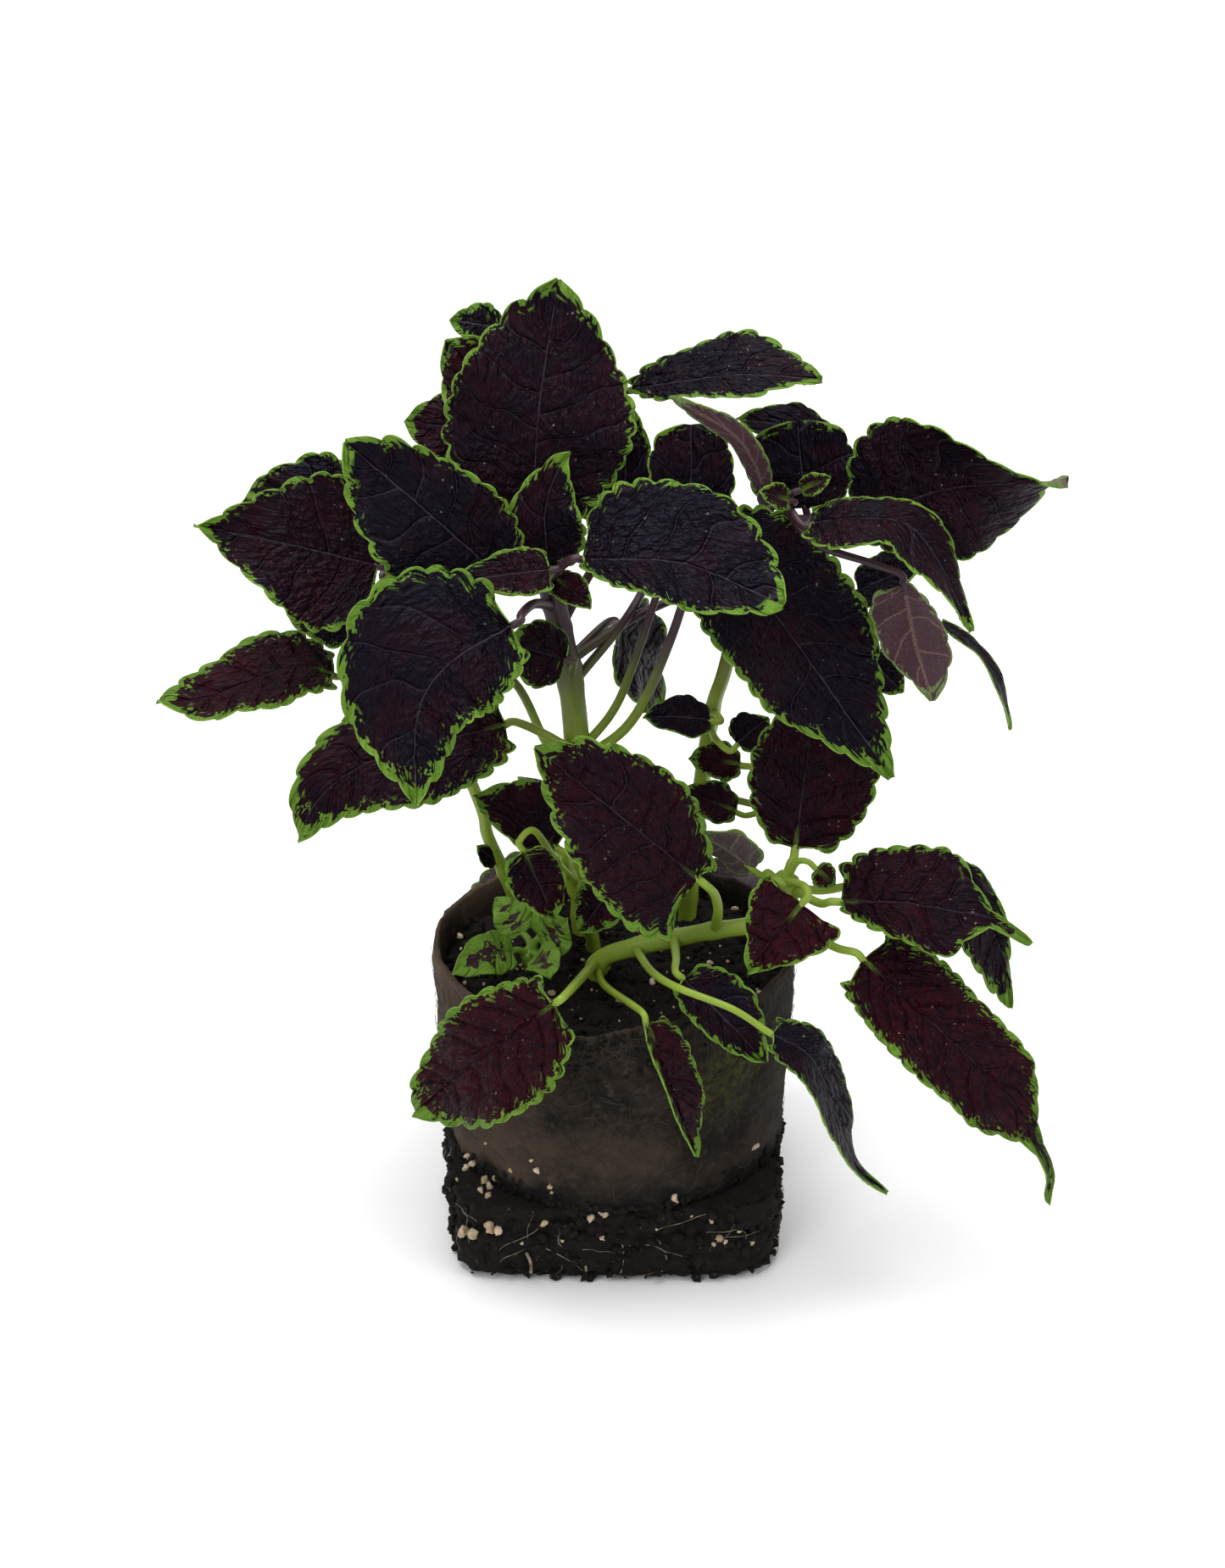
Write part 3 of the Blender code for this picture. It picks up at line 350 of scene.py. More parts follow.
LEAVES = borne_by("main_stem", [
    # Crown of the main stem
    Leaf("crown_back_leaf", [(-17, 151, 2), (-18.5, 158, 4)],
         [(-19, 163, 6), (-18, 186, 11), (-13.2, 218.4, 24)], 43, fold=6, sides=(0.93, 0.97),
         form=(0.6, 1.0), red=0.3),
    Leaf("crown_upright_leaf", [(-16.5, 148, 1)],
         [(-15.6, 150.4, -2), (-16.4, 163, -1), (-13.3, 173.6, 1.5), (-10.4, 177.4, 3)], 17.5, fold=12,
         form=(0.5, 1.2), red=0.3),
    Leaf("crown_left_leaf", [(-15.5, 147, 2), (-20, 145.5, -6)], [(-26, 147, -8), (-64, 180, -10)], 33,
         sides=(0.97, 0.77), form=(0.45, 0.8)),
    Leaf("crown_front_leaf", [(-14.4, 141, 2.5), (-19, 141.5, -12), (-22, 139, -21)], [(-24.6, 136.2, -25),
         (-36.8, 129.2, -29.5), (-44, 121.6, -32.5), (-47, 112, -36), (-46.8, 93.2, -45)], 46,
         sides=(0.58, 0.96), form=(0.5, 1.1), plus_form=(0.7, 1.45), margin=1.25),
    Leaf("crown_right_leaf", [(-15.5, 146.5, 1), (-14, 149, -9)],
         [(-7.4, 152, -15), (16.4, 150.8, -18.5), (40, 140.8, -25)], 29, face=(0.1, -0.6, 0.8),
         sides=(1.3, 0.77), form=(0.5, 0.85), plus_form=(0.9, 0.85), red=0.05),
    Leaf("crown_side_leaf", [(-16, 147, 1), (-14.5, 149, -8)], [(-15.5, 149.5, -13), (-42.4, 145.5, -17.5)],
         11, face=(0, -0.75, 0.66), form=(0.4, 1.3), red=0.35),
    Leaf("crown_curled_leaf", [(-10.6, 124, 3), (-9.5, 128, -1)], [(-12, 128.5, -5), (-25.5, 132, -10)], 15,
         curl=0.35, form=(0.4, 0.7), red=0.35),
    Leaf("rear_right_leaf", [(-13, 136, 3), (-5, 150, 11), (1, 158, 19)], [(2, 161.6, 21), (3.4, 189, 30)],
         30, sides=(1.0, 0.45)),
    Leaf("rear_left_leaf", [(-16, 149, 2), (-17.5, 160, 12), (-18.5, 173, 22)],
         [(-20, 181, 28), (-40, 204, 33)], 25, red=0.75),
    Leaf("rear_low_leaf", [(-17.5, 160, 12), (-20, 170, 30)], [(-33, 182, 40), (-49.6, 184.6, 41)], 16,
         red=0.7),
    Leaf("long_stalk_leaf", [(-10.4, 122, 5), (4, 140, 12), (8, 152, 30), (6, 175, 39), (2.5, 190, 36)],
         [(3.8, 192, 34), (17, 194, 31), (31, 195.4, 27), (49.2, 194.2, 22)], 21, face=(0, -0.4, 0.9),
         sides=(1.2, 0.75), form=(1.1, 1.1)),
    Leaf("dark_inner_leaf", [(-9, 106, 7), (-0.4, 116.2, 7), (4.8, 128.4, 8), (13, 152, 9)],
         [(18, 161, 11), (18, 184, 15)], 19, form=(0.4, 0.4), margin=0.35),
    Leaf("big_right_leaf", [(-9, 104, 7), (3.8, 113.6, 4), (13, 132.6, 2), (19, 152, 0)],
         [(23, 158.5, 0), (42.5, 132.5, -6), (65.4, 100, -16)], 39, face=(0.3, -0.72, 0.62),
         sides=(1.0, 0.93), form=(0.6, 1.12), margin=1.05),
    Leaf("lower_left_leaf", [(-9.5, 106.5, 6), (-17, 111, -3)],
         [(-26, 113, -8), (-54.5, 105.4, -17), (-68.4, 97, -21), (-74.8, 85.2, -23)], 29,
         face=(-0.15, -0.8, 0.58), sides=(0.93, 0.88), form=(0.6, 1.0), red=0.55, margin=1.15),
    Leaf("far_left_leaf", [(-9, 101, 7), (-16, 108.6, 5), (-26, 125, 3), (-48, 127, 4)], [(-66.6, 125, 5),
         (-75.8, 126.6, 3.5), (-88.2, 122.2, 1), (-98.2, 118.8, -1.5), (-108.3, 118.4, -4)], 22,
         face=(-0.1, -0.35, 0.93), form=(0.5, 0.85), red=0.75, margin=1.2),
]) + borne_by("left_stem", [
    Leaf("left_leaf", [(-54, 148, 12)], [(-56, 150.5, 8), (-99.6, 160, 3)], 35, face=(-0.1, -0.8, 0.6),
         form=(0.6, 1.5), red=0.4),
    Leaf("left_rear_leaf", [(-54, 148, 12), (-54, 160, 19)], [(-59, 164, 22), (-88, 165.6, 22)], 23,
         face=(-0.1, -0.7, 0.7)),
    Leaf("left_small_leaf", [(-50, 134, 10), (-57, 135.5, 13)], [(-61, 136, 14), (-77.4, 139, 14)], 14,
         face=(0, -0.6, 0.8)),
]) + borne_by("right_stem", [
    Leaf("right_round_leaf", [(35.6, 160, 15), (42, 161.5, 19)], [(45, 164.4, 22), (43, 184.6, 28)], 24,
         face=(0, -0.95, 0.3), form=(0.4, 0.45), margin=0.45),
    Leaf("right_narrow_leaf", [(35.8, 167, 16)],
         [(35.2, 168.5, 10), (32.6, 175.6, 7), (27.3, 182.2, 3.5), (13.2, 190.4, -1)], 6.5,
         face=(0.3, 0.8, 0.1), form=(0.4, 0.7), red=1.0),
    Leaf("right_rear_leaf", [(34.5, 156, 15), (45, 160, 28), (54, 174, 35)],
         [(51, 180, 37), (28.6, 185.2, 36)], 13, face=(0, -0.5, 0.87), margin=0.4),
    Leaf("far_right_leaf", [(35, 157, 15), (46, 159.5, 18), (54, 161, 16)],
         [(58.6, 161.2, 13), (72.6, 167, 6), (84, 169.4, 1), (107.2, 170.2, -3)], 38,
         tip_face=(0.1, -0.1, -1.0), sides=(0.98, 0.84), form=(1.0, 2.4), plus_form=(0.7, 0.8), red=0.3,
         margin=0.5),
    Leaf("right_drooping_leaf", [(35.7, 164, 15), (40, 165, 6)],
         [(46.6, 160.5, -2), (58, 161.5, -6), (69, 160, -9), (77, 150, -13), (84, 134.6, -18)], 20,
         face=(0.2, -0.35, 0.9), tip_face=(0.8, -0.4, 0.3), sides=(0.75, 1.15), red=0.3, margin=0.55),
    Leaf("right_dark_leaf", [(30.5, 143, 15), (44, 139, 20), (53, 142, 21)],
         [(57.5, 144.5, 20), (72.5, 150.5, 15)], 13, face=(0, -0.6, 0.8), margin=0.45),
    Leaf("right_hanging_leaf", [(40, 165, 6), (47, 156, 0), (61, 151, 0)],
         [(68, 146, 0), (74.8, 118.4, -6)], 17, face=(-0.35, 0.85, -0.4), form=(0.45, 1.2),
         plus_form=(0.9, 0.7), red=0.95, margin=0.6),
    Leaf("right_strap_leaf", [(44, 139, 20), (60, 137, 17), (72, 138, 16)],
         [(77, 137, 14), (85, 131, 13), (90.5, 122.5, 10), (93.4, 111.6, 8)], 6, face=(0.8, -0.25, 0.55),
         form=(0.5, 0.6), margin=0.6),
    Leaf("right_hidden_leaf", [(57, 137, 18), (59, 132, 18)], [(60, 128.5, 17), (68, 120.5, 14)], 10),
    Leaf("inner_left_leaf", [(23, 116, 17), (24.5, 115, 11)], [(22.5, 114, 8), (6.6, 114.6, 6)], 11,
         face=(0, -0.5, 0.87), margin=0.3),
    Leaf("inner_right_leaf", [(22.8, 113, 17.5), (23.6, 110, 10)], [(29, 108.5, 6), (36.5, 114.5, 9)], 10,
         face=(0, -0.5, 0.87), margin=0.3),
    Leaf("inner_striped_leaf", [(20.5, 97, 21), (33.5, 94, 8), (34, 92.5, -1)],
         [(28.6, 92.5, -1), (15, 97, 0)], 11, face=(0, -0.5, 0.85), red=0.6),
    Leaf("inner_red_leaf", [(21.3, 104, 19.3), (33.5, 103, 15)], [(29.6, 103.5, 10), (17.4, 105, 9)], 10,
         face=(0, -0.6, 0.8), red=1.0),
    Leaf("rim_back_right_leaf", [at(18, 22, 72), at(19, 37, 77)],
         [at(20, 51, 65), at(27, 56, 50), at(33, 58, 33)], 27, face=(0.2, 0.95, 0.2)),
]) + borne_by("middle_stem", [
    Leaf("low_left_leaf", [(-12, 80, -4)], [(-14, 84, -8), (-33.4, 96.2, -9)], 20, face=(-0.1, -0.7, 0.7),
         sides=(0.5, 1.15), red=0.5),
    Leaf("low_left_small_leaf", [(-10.6, 77, -3), (-14, 81, -14), (-19, 88, -19)],
         [(-21.4, 83, -22), (-14.2, 67.2, -27)], 13, red=0.5),
    Leaf("low_middle_leaf", [(-9.5, 74, -2), (-3, 78, -8), (0.5, 77.4, -11)],
         [(0, 75, -13), (-8.4, 64, -17)], 12, face=(0, -0.8, 0.6), red=0.5, margin=1.2),
]) + borne_by("side_branch", [
    Leaf("front_middle_leaf", [(23.6, 64.4, -14), (24.4, 69, -21), (23.5, 73, -25)],
         [(19.4, 76.8, -28), (0, 92.5, -29), (-19.2, 107.8, -24)], 34, sides=(1.05, 0.83), form=(0.3, 1.0),
         plus_form=(0.8, 1.0), lobe=0.12, red=0.5, margin=1.0),
    Leaf("branch_upright_leaf", [(40.5, 76, -18), (41.5, 80, -18)], [(42.6, 84, -16), (47, 117, 6)], 29,
         sides=(0.85, 1.1), form=(0.5, 0.5), red=0.55),
    Leaf("branch_red_leaf", [(40.5, 76, -18), (44.5, 75, -27)], [(44, 70.6, -31), (31.4, 54.2, -36)], 21,
         form=(0.2, 1.1), lobe=0.12, red=1.0),
    Leaf("branch_small_leaf", [(40.5, 76, -18), (43, 80.5, -19)], [(47.5, 79, -20), (52, 75, -19.5)], 6,
         red=1.0),
    Leaf("branch_right_leaf", [(40.5, 75, -18), (48, 71, -24)], [(53.6, 71.2, -27), (66.8, 71, -29.5),
         (77.4, 69.4, -30.5), (87.8, 67.4, -31), (98.6, 61.2, -32)], 25, face=(0.1, -0.75, 0.65),
         sides=(1.05, 0.9), form=(0.4, 0.6), plus_form=(0.9, 0.6), tail=0.8, red=0.5),
    Leaf("branch_rear_leaf", [(40.5, 75, -18), (50, 74, -14), (64, 77.5, -13)],
         [(73, 79, -14), (84.6, 76, -15.5), (90.2, 62, -17), (93.4, 46, -19)], 21, face=(0.3, -0.75, 0.6),
         sides=(0.35, 1.0), red=0.25, margin=0.8),
    Leaf("branch_long_leaf", [(40.5, 75, -18), (46, 64.5, -23), (52, 60.5, -28)], [(58.8, 57.4, -32),
         (76.4, 41, -39), (91, 27.4, -43), (99, 16, -43), (103, 7, -42), (102.4, -0.2, -40)], 24,
         face=(0.15, -0.8, 0.58), form=(0.4, 1.2), plus_form=(0.3, 0.5), tail=0.74, tail_start=0.52,
         red=0.75, margin=1.1),
    Leaf("branch_grey_leaf", [(40, 74, -18), (36.5, 78, -14)], [(32.8, 79, -13), (19.4, 87.5, -12)], 14,
         face=(0, 0.8, 0.6), red=0.0),
    Leaf("over_rim_left_leaf", [at(-4.5, -9, 70), (-9, 52, -30)],
         [(-14.2, 47.2, -49), (-31, 35, -46), (-47.2, 21.4, -35)], 29, face=(-0.2, -0.9, 0.4),
         sides=(1.06, 0.82), form=(0.5, 0.9), lobe=0.07, red=1.0, margin=1.2),
    Leaf("over_rim_narrow_leaf", [at(-4.5, -9, 69), (-2.4, 51.5, -22), (4, 47, -40)],
         [(7.6, 42.4, -50), (12, 30, -52), (19, 11, -47)], 13, face=(0.6, -0.7, 0.3), fold=25,
         sides=(1.15, 0.4), red=0.8),
    Leaf("over_rim_middle_leaf", [(14, 62.5, -13), (14.5, 58, -28)], [(16.2, 53, -38), (35.8, 33.2, -44)],
         18, face=(0.3, -0.85, 0.4), sides=(0.95, 0.65), red=0.35),
    Leaf("over_rim_right_leaf", [(5, 60, -12), (9, 54.5, -34), (15.2, 50.8, -47), (27.6, 46, -53)],
         [(37.2, 40, -53), (46.5, 34, -50), (52.5, 20, -47), (57, 8, -46), (64.4, 2.2, -46)], 14,
         face=(0.7, -0.6, 0.4), tip_face=(0.8, 0.1, 0.3), red=0.1, margin=0.55),
]) + borne_by("main_stem", [
    # Back of the plant
    Leaf("back_left_leaf", [(-14, 142, 3), (-20, 147, 14)], [(-24, 150, 20), (-42, 163, 62)], 34,
         face=(-0.2, 0.35, 0.9)),
    Leaf("back_right_leaf", [(-11, 128, 4), (4, 138, 12), (14.5, 143, 16)], [(17, 146, 25), (37, 156, 64)],
         34, face=(0.2, 0.35, 0.9)),
    Leaf("back_middle_leaf", [(-11, 128, 4), (-3, 136, 12)], [(1, 136, 18), (11, 118, 31)], 26,
         face=(0.1, -0.55, 0.83)),
    Leaf("back_low_leaf", [(-8, 80, 11), (-8, 90, 24)], [(-7, 96, 32), (-12, 96, 72)], 28, face=TO_BACK),
    Leaf("rim_back_left_leaf", [at(-7, 13, 71), at(-14, 37, 76.5)],
         [at(-17, 52, 65), at(-24, 56, 50), at(-31, 58, 33)], 28, face=(-0.2, 0.95, 0.2)),
])

# Leaves too small to stand alone. They are one body with the stem that bears them.
SMALL_LEAVES = borne_by("main_stem", [
    Leaf("high_tip", [(-18.3, 172, 21), (-13, 188, 38), (-19, 202, 45)],
         [(-27, 206.5, 45), (-39, 208.4, 45)], 10, margin=1.4),
    Leaf("young_tip", [(-16, 149, 2)], [(-14, 147.5, -3), (-5.6, 140.4, -13)], 8, face=(0, -0.6, 0.8),
         red=0.5, margin=0.5),
]) + borne_by("right_stem", [
    Leaf("shoot_tip", [(40, 165, 6)], [(41, 166, 2), (34, 168, -5)], 6, red=0.8),
    Leaf("shoot_bud", [(40, 165, 6)], [(44, 168.5, 4), (51, 171.5, 3)], 5, red=0.8),
]) + borne_by("left_stem", [
    Leaf("low_tip", [(-26, 78, 14)], [(-28, 80.5, 12), (-32.5, 84.5, 9)], 5, margin=0.4),
]) + borne_by("basal_shoots", [
    Leaf("shoot_a", [at(-20, -6, 70)], [at(-22, -3.5, 75), at(-25.5, -1, 79), at(-28.5, 1.5, 82)], 9,
         margin=4.6),
    Leaf("shoot_b", [at(-20, -6, 70)], [at(-24.5, -10, 73.5), at(-31, -17, 76), at(-38, -24, 75)], 10,
         margin=4.8),
    Leaf("shoot_c", [at(-20, -6, 70)], [at(-17.5, -8, 76), at(-14, -11, 80), at(-11.5, -13, 84)], 12,
         margin=4.4),
    Leaf("shoot_d", [at(-20, -6, 70)], [at(-18.5, -12, 73.5), at(-16.5, -18, 75), at(-15, -24, 74)], 9,
         margin=4.0),
])


def make_mesh(name, vertices, faces, material, attributes=None, slots=None):
    """An object from vertices in millimetres and equal-sided faces, shaded smooth."""
    vertices = np.clip(np.asarray(vertices, float) * MM, cad_low, cad_high)
    faces = np.asarray(faces, np.int32)
    mesh = bpy.data.meshes.new(name)
    mesh.vertices.add(len(vertices))
    mesh.vertices.foreach_set("co", vertices.astype(np.float32).ravel())
    mesh.loops.add(faces.size)
    mesh.loops.foreach_set("vertex_index", faces.ravel())
    mesh.polygons.add(len(faces))
    mesh.polygons.foreach_set("loop_start", np.arange(0, faces.size, faces.shape[1], dtype=np.int32))
    mesh.polygons.foreach_set("use_smooth", np.ones(len(faces), bool))
    for one in material if isinstance(material, list) else [material]:
        mesh.materials.append(one)
    if slots is not None:
        mesh.polygons.foreach_set("material_index", np.asarray(slots, np.int32))
    for key, values in (attributes or {}).items():
        layer = mesh.attributes.new(key, "FLOAT_VECTOR", "POINT")
        layer.data.foreach_set("vector", np.asarray(values, np.float32).ravel())
    mesh.update(calc_edges=True)
    mesh.validate()
    return link(bpy.data.objects.new(name, mesh))


def finish_piece(made, slot, *nodes):
    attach(made, "root")
    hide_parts(*nodes)


class Soup:
    """Shells gathered into one mesh."""

    def __init__(self):
        self.vertices = []
        self.faces = []
        self.count = 0

    def add(self, vertices, faces):
        self.vertices.append(np.asarray(vertices, float))
        self.faces.append(np.asarray(faces, np.int32) + self.count)
        self.count += len(vertices)

    def mesh(self, name, material):
        return make_mesh(name, np.vstack(self.vertices), np.vstack(self.faces), material)


def grid_faces(rows, columns, closed=False):
    """Quads of a grid of points. A closed grid joins its last column to its first."""
    i = np.arange(rows - 1)[:, None] * columns
    j = np.arange(columns if closed else columns - 1)[None, :]
    n = (j + 1) % columns
    corners = [i + j, i + n, i + columns + n, i + columns + j]
    return np.stack([np.broadcast_to(c, (rows - 1, j.shape[1])) for c in corners], axis=-1).reshape(-1, 4)


def blade_grid(leaf):
    """Rows along the blade and columns across it, closer together at the midrib and the margins."""
    half_columns = int(np.clip(leaf.width * 0.5, 5, 14))
    reach = (1.0 - np.cos(np.linspace(0.0, math.pi, half_columns + 1))) / 2
    shares = np.concatenate([-reach[:0:-1], reach])
    steps = np.linspace(0.0, 1.0, leaf.teeth * POINTS_PER_TOOTH + 1)
    return np.meshgrid(np.clip(steps, FIRST_ROW, LAST_ROW), shares, indexing="ij")


def scallops(leaf, step, share):
    """The roundness of the scallop beside each point, and how far it swells the blade there."""
    tooth = np.maximum((step - PLAIN_BASE) / (1.0 - PLAIN_BASE), 0.0) * leaf.teeth
    uneven = 1.0 + UNEVEN_TEETH * np.sin(5.1 * np.floor(tooth) + leaf.seed + 2.0 * (share > 0))
    depth = TOOTH_DEPTH * min(1.0, FEW_TEETH / leaf.teeth) * uneven
    depth = depth * (1.0 - 0.85 * ease((step**TOOTH_GROWTH - POINTED_TIP) / (1.0 - POINTED_TIP)))
    lobe = np.sin(math.pi * (tooth - np.floor(tooth))) ** 0.6
    return lobe, depth * lobe * ease((np.abs(share) - TOOTH_REACH) / (1.0 - TOOTH_REACH))


def side_veins(leaf, along, reach, share):
    """A number that is whole on each side vein. The veins lead forwards from the midrib."""
    ends_at = np.clip(along + VEIN_LEAD * (1.0 - reach) ** 0.8, 0.0, 1.0) ** (1 / TOOTH_GROWTH)
    vein = (ends_at - PLAIN_BASE) / (1.0 - PLAIN_BASE) * leaf.teeth / TEETH_PER_VEIN
    place = stacked(leaf.half_width(along, share) * share, along * leaf.length, leaf.seed)
    return vein + 0.5 * (share > 0) + leaf.seed + rough(place, 8.0, VEIN_BEND)


def two_skins(upper, lower):
    """A closed shell round two grids of points, and the material slot of each face."""
    rows, columns = upper.shape[:2]
    count = rows * columns
    quads = grid_faces(rows, columns)
    rim = np.concatenate([np.arange(columns), columns * np.arange(2, rows + 1) - 1,
                          count - 2 - np.arange(columns - 1), columns * np.arange(rows - 2, 0, -1)])
    ahead = np.roll(rim, -1)
    wall = np.stack([rim, rim + count, ahead + count, ahead], axis=-1)
    faces = np.vstack([quads, quads[:, ::-1] + count, wall])
    slots = np.concatenate([np.zeros(len(quads)), np.ones(len(quads)), np.zeros(len(wall))])
    return np.vstack([upper.reshape(-1, 3), lower.reshape(-1, 3)]), faces, slots


def blade_shell(leaf):
    """The blade as a closed shell on a fine grid, with what the leaf materials read."""
    step, share = blade_grid(leaf)
    along = step**TOOTH_GROWTH
    reach = np.abs(share)
    offset = leaf.half_width(along, share) * share
    run = along * leaf.length
    lobe, swell = scallops(leaf, step, share)
    vein = side_veins(leaf, along, reach, share)
    sheet = stacked(offset, run, leaf.seed * 31.0)
    # The blade swells between its veins, is finely wrinkled, and is ruffled towards the margin
    size = min(1.0, leaf.width / FULL_RELIEF_WIDTH)
    flat = ease(reach / 0.12) * (1.0 - 0.6 * ease((reach - 0.8) / 0.2))
    relief = QUILT * size * (np.abs(np.sin(math.pi * vein)) ** 0.6 - 0.7) * flat
    wrinkle = stacked(vein * 1.4, np.abs(offset) * 0.5, leaf.seed)
    relief = relief + rough(wrinkle, 1.0, CRINKLE * size) * flat
    relief = relief + rough(sheet, 9.0, RUFFLE * size, 7.0) * reach
    points, facing = leaf.surface(along, share, swell, relief)
    normals = np.cross(np.gradient(points, axis=1), np.gradient(points, axis=0))
    flip = np.sign(np.sum(normals * facing, axis=-1, keepdims=True))
    normals = unit(normals * flip + 1e-7 * facing)
    # It is thinner at the margin, and its ribs stand out below
    edge = margin_distance(points)
    thick = MARGIN_THICKNESS + (BLADE_THICKNESS - MARGIN_THICKNESS) * ease(edge / 1.5)
    rib = RIB_RELIEF * size * bell(offset, RIB_WIDTH) * (1.0 - 0.7 * along) * (1.0 - reach)
    side_rib = SIDE_RIB_RELIEF * size * bell(vein - np.round(vein), SIDE_RIB_WIDTH) * (1.0 - reach)
    upper = points + normals * (thick / 2)[..., None]
    lower = points - normals * (thick / 2 + np.maximum(rib, side_rib))[..., None]
    # The green margin is pinched between scallops and broad at the tip
    band = leaf.margin * min(1.0, 0.45 + leaf.width / 36.0) * (PINCHED + (BULGED - PINCHED) * lobe**2)
    band = band * (1.0 + 1.3 * ease((along - 0.72) / 0.28)) * (0.55 + 0.45 * ease(along / 0.12))
    attributes = {"blade": stacked(edge, vein, offset), "sheet": sheet, "tone": stacked(leaf.red, band, run)}
    twice = {key: np.vstack([v.reshape(-1, 3)] * 2) for key, v in attributes.items()}
    return *two_skins(upper, lower), twice


def margin_distance(points):
    """How far each point of the grid is from the nearest point of the margin."""
    rim = np.vstack([points[:, 0], points[:, -1]])
    flat = points.reshape(-1, 3)
    best = np.full(len(flat), np.inf)
    for start in range(0, len(rim), 64):
        gap = flat[:, None, :] - rim[None, start : start + 64, :]
        best = np.minimum(best, np.min(np.einsum("ijk,ijk->ij", gap, gap), axis=1))
    return np.sqrt(best).reshape(points.shape[:2])


def build_blade(leaf, materials, node):
    vertices, faces, slots, attributes = blade_shell(leaf)
    made = make_mesh(leaf.name + "_blade", vertices, faces, materials, attributes, slots)
    finish_piece(made, frame_slot(node), node)


def frame_slot(node):
    """The record's material slot of a node."""
    for part in frame["record"]["subparts"]:
        if part["node"] == node:
            return part["material_slot"]
    return "leaf"


def build_stem(name, material, materials):
    """A stem with nodes and furrows, the stalks of its leaves, and its small leaves."""
    points, foot, top = STEMS[name]
    path = smooth_path(spots(points), 12)
    lengths = path_lengths(path)
    share = lengths / lengths[-1]
    radii = foot + (top - foot) * share
    borne = [leaf for leaf in LEAVES + SMALL_LEAVES if leaf.stem == name]
    for leaf in borne:
        nearest = lengths[np.argmin(np.linalg.norm(path - leaf.stalk[0], axis=1))]
        radii = radii + NODE_SWELL * foot * bell(lengths - nearest, NODE_LENGTH) / (1 + len(borne) / 8)
    radii = np.minimum(radii, foot * WIDEST_NODE)
    soup = Soup()
    add_tube(soup, path, radii, 20, STEM_SQUARE)
    for leaf in borne:
        start, tangent, _, normal = (v[0] for v in leaf.frame(np.zeros(1)))
        radius = STALK_RADIUS * (THIN_STALK + (1.0 - THIN_STALK) * min(1.0, leaf.width / WIDE_LEAF))
        end = start + tangent * STALK_DEPTH - normal * 0.8
        route = leaf.stalk + [start - tangent * STALK_APPROACH, start - normal * 0.3, end]
        stalk = smooth_path(route, 8)
        runs = path_lengths(stalk)
        sizes = radius * (STALK_SWELL - (STALK_SWELL - STALK_NECK) * runs / runs[-1])
        sizes = sizes * (1.0 - 0.75 * ease((runs - runs[-1] + STALK_TAPER) / STALK_TAPER))
        sizes = sizes * (1.0 + STALK_FOOT_SWELL * bell(runs, 2.0))
        add_tube(soup, stalk, sizes, 10, 0.0, normal)
    finish_piece(soup.mesh(name + "_green", material), frame_slot(name), name)
    for leaf in borne:
        if leaf in SMALL_LEAVES:
            build_blade(leaf, materials, name)


def add_tube(soup, path, radii, sides, square=0.0, groove=None):
    """A tube with closed, tapered ends, as quads."""
    path = np.asarray(path, float)
    radii = np.asarray(radii, float) * np.ones(len(path))
    ahead = unit(np.gradient(path, axis=0))
    side = unit(np.cross(ahead[0], (0.31, 0.52, 0.79)))
    angles = turns(sides)
    rings = [np.repeat(path[:1], sides, axis=0)]
    for point, forward, radius in zip(path, ahead, radii):
        side = unit(side - np.dot(side, forward) * forward)
        out = np.cos(angles)[:, None] * side + np.sin(angles)[:, None] * np.cross(forward, side)
        reach = radius * (1.0 - square * np.cos(4 * angles))
        if groove is not None:
            reach = reach * (1.0 - 0.3 * np.clip(out @ groove, 0.0, 1.0) ** 6)
        rings.append(point + reach[:, None] * out)
    rings.append(np.repeat(path[-1:], sides, axis=0))
    soup.add(np.vstack(rings), grid_faces(len(rings), sides, closed=True)[:, ::-1])


def foot_radius(angle, half):
    power = FOOT_CORNER_POWER
    return half / (np.abs(np.cos(angle)) ** power + np.abs(np.sin(angle)) ** power) ** (1 / power)


def roughness_at(angle, z, size):
    """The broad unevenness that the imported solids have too."""
    return rough(polar(3.0, angle, z / 9.0), 1.0, size)


def sleeve_radius(z):
    share = (z - FOOT_TOP_Z) / (RIM_Z - FOOT_TOP_Z)
    return SLEEVE_FOOT_RADIUS + (RIM_RADIUS - SLEEVE_FOOT_RADIUS) * share


def sleeve_surface(angle, z):
    share = (z - FOOT_TOP_Z) / (RIM_Z - FOOT_TOP_Z)
    return sleeve_radius(z) + roughness_at(angle, SLEEVE_PITCH * share, SLEEVE_ROUGHNESS)


def foot_surface(angle, z, inset=0.0, size=FOOT_ROUGHNESS):
    return foot_radius(angle, FOOT_HALF - inset) + roughness_at(angle, z, size)


def soil_top(angle, share, size=SOIL_TOP_ROUGHNESS):
    """The height of the soil inside the sleeve, at a share of the core's radius."""
    return SOIL_TOP_Z + roughness_at(angle, 20.0 * share, size)


def turn_from(angle, middle):
    return np.arctan2(np.sin(angle - middle), np.cos(angle - middle))


def soil_clump(angle, z):
    """The lump that stands out at the left of the foot."""
    return 3.0 * bell(turn_from(angle, math.pi), 0.22) * bell(z - 13.0, 6.0)


def rim_height(angle):
    """The rim is worn lower just left of the middle of the front."""
    worn = 2.4 * bell(turn_from(angle, -0.56 * math.pi), 0.25)
    return RIM_Z + roughness_at(angle, 80.0, 1.6) - worn


def turned_piece(name, rings, material, slot, node):
    """A piece made of closed rings of points."""
    faces = grid_faces(len(rings), len(rings[0]), closed=True)
    finish_piece(make_mesh(name, np.vstack(rings), faces, material), slot, node)


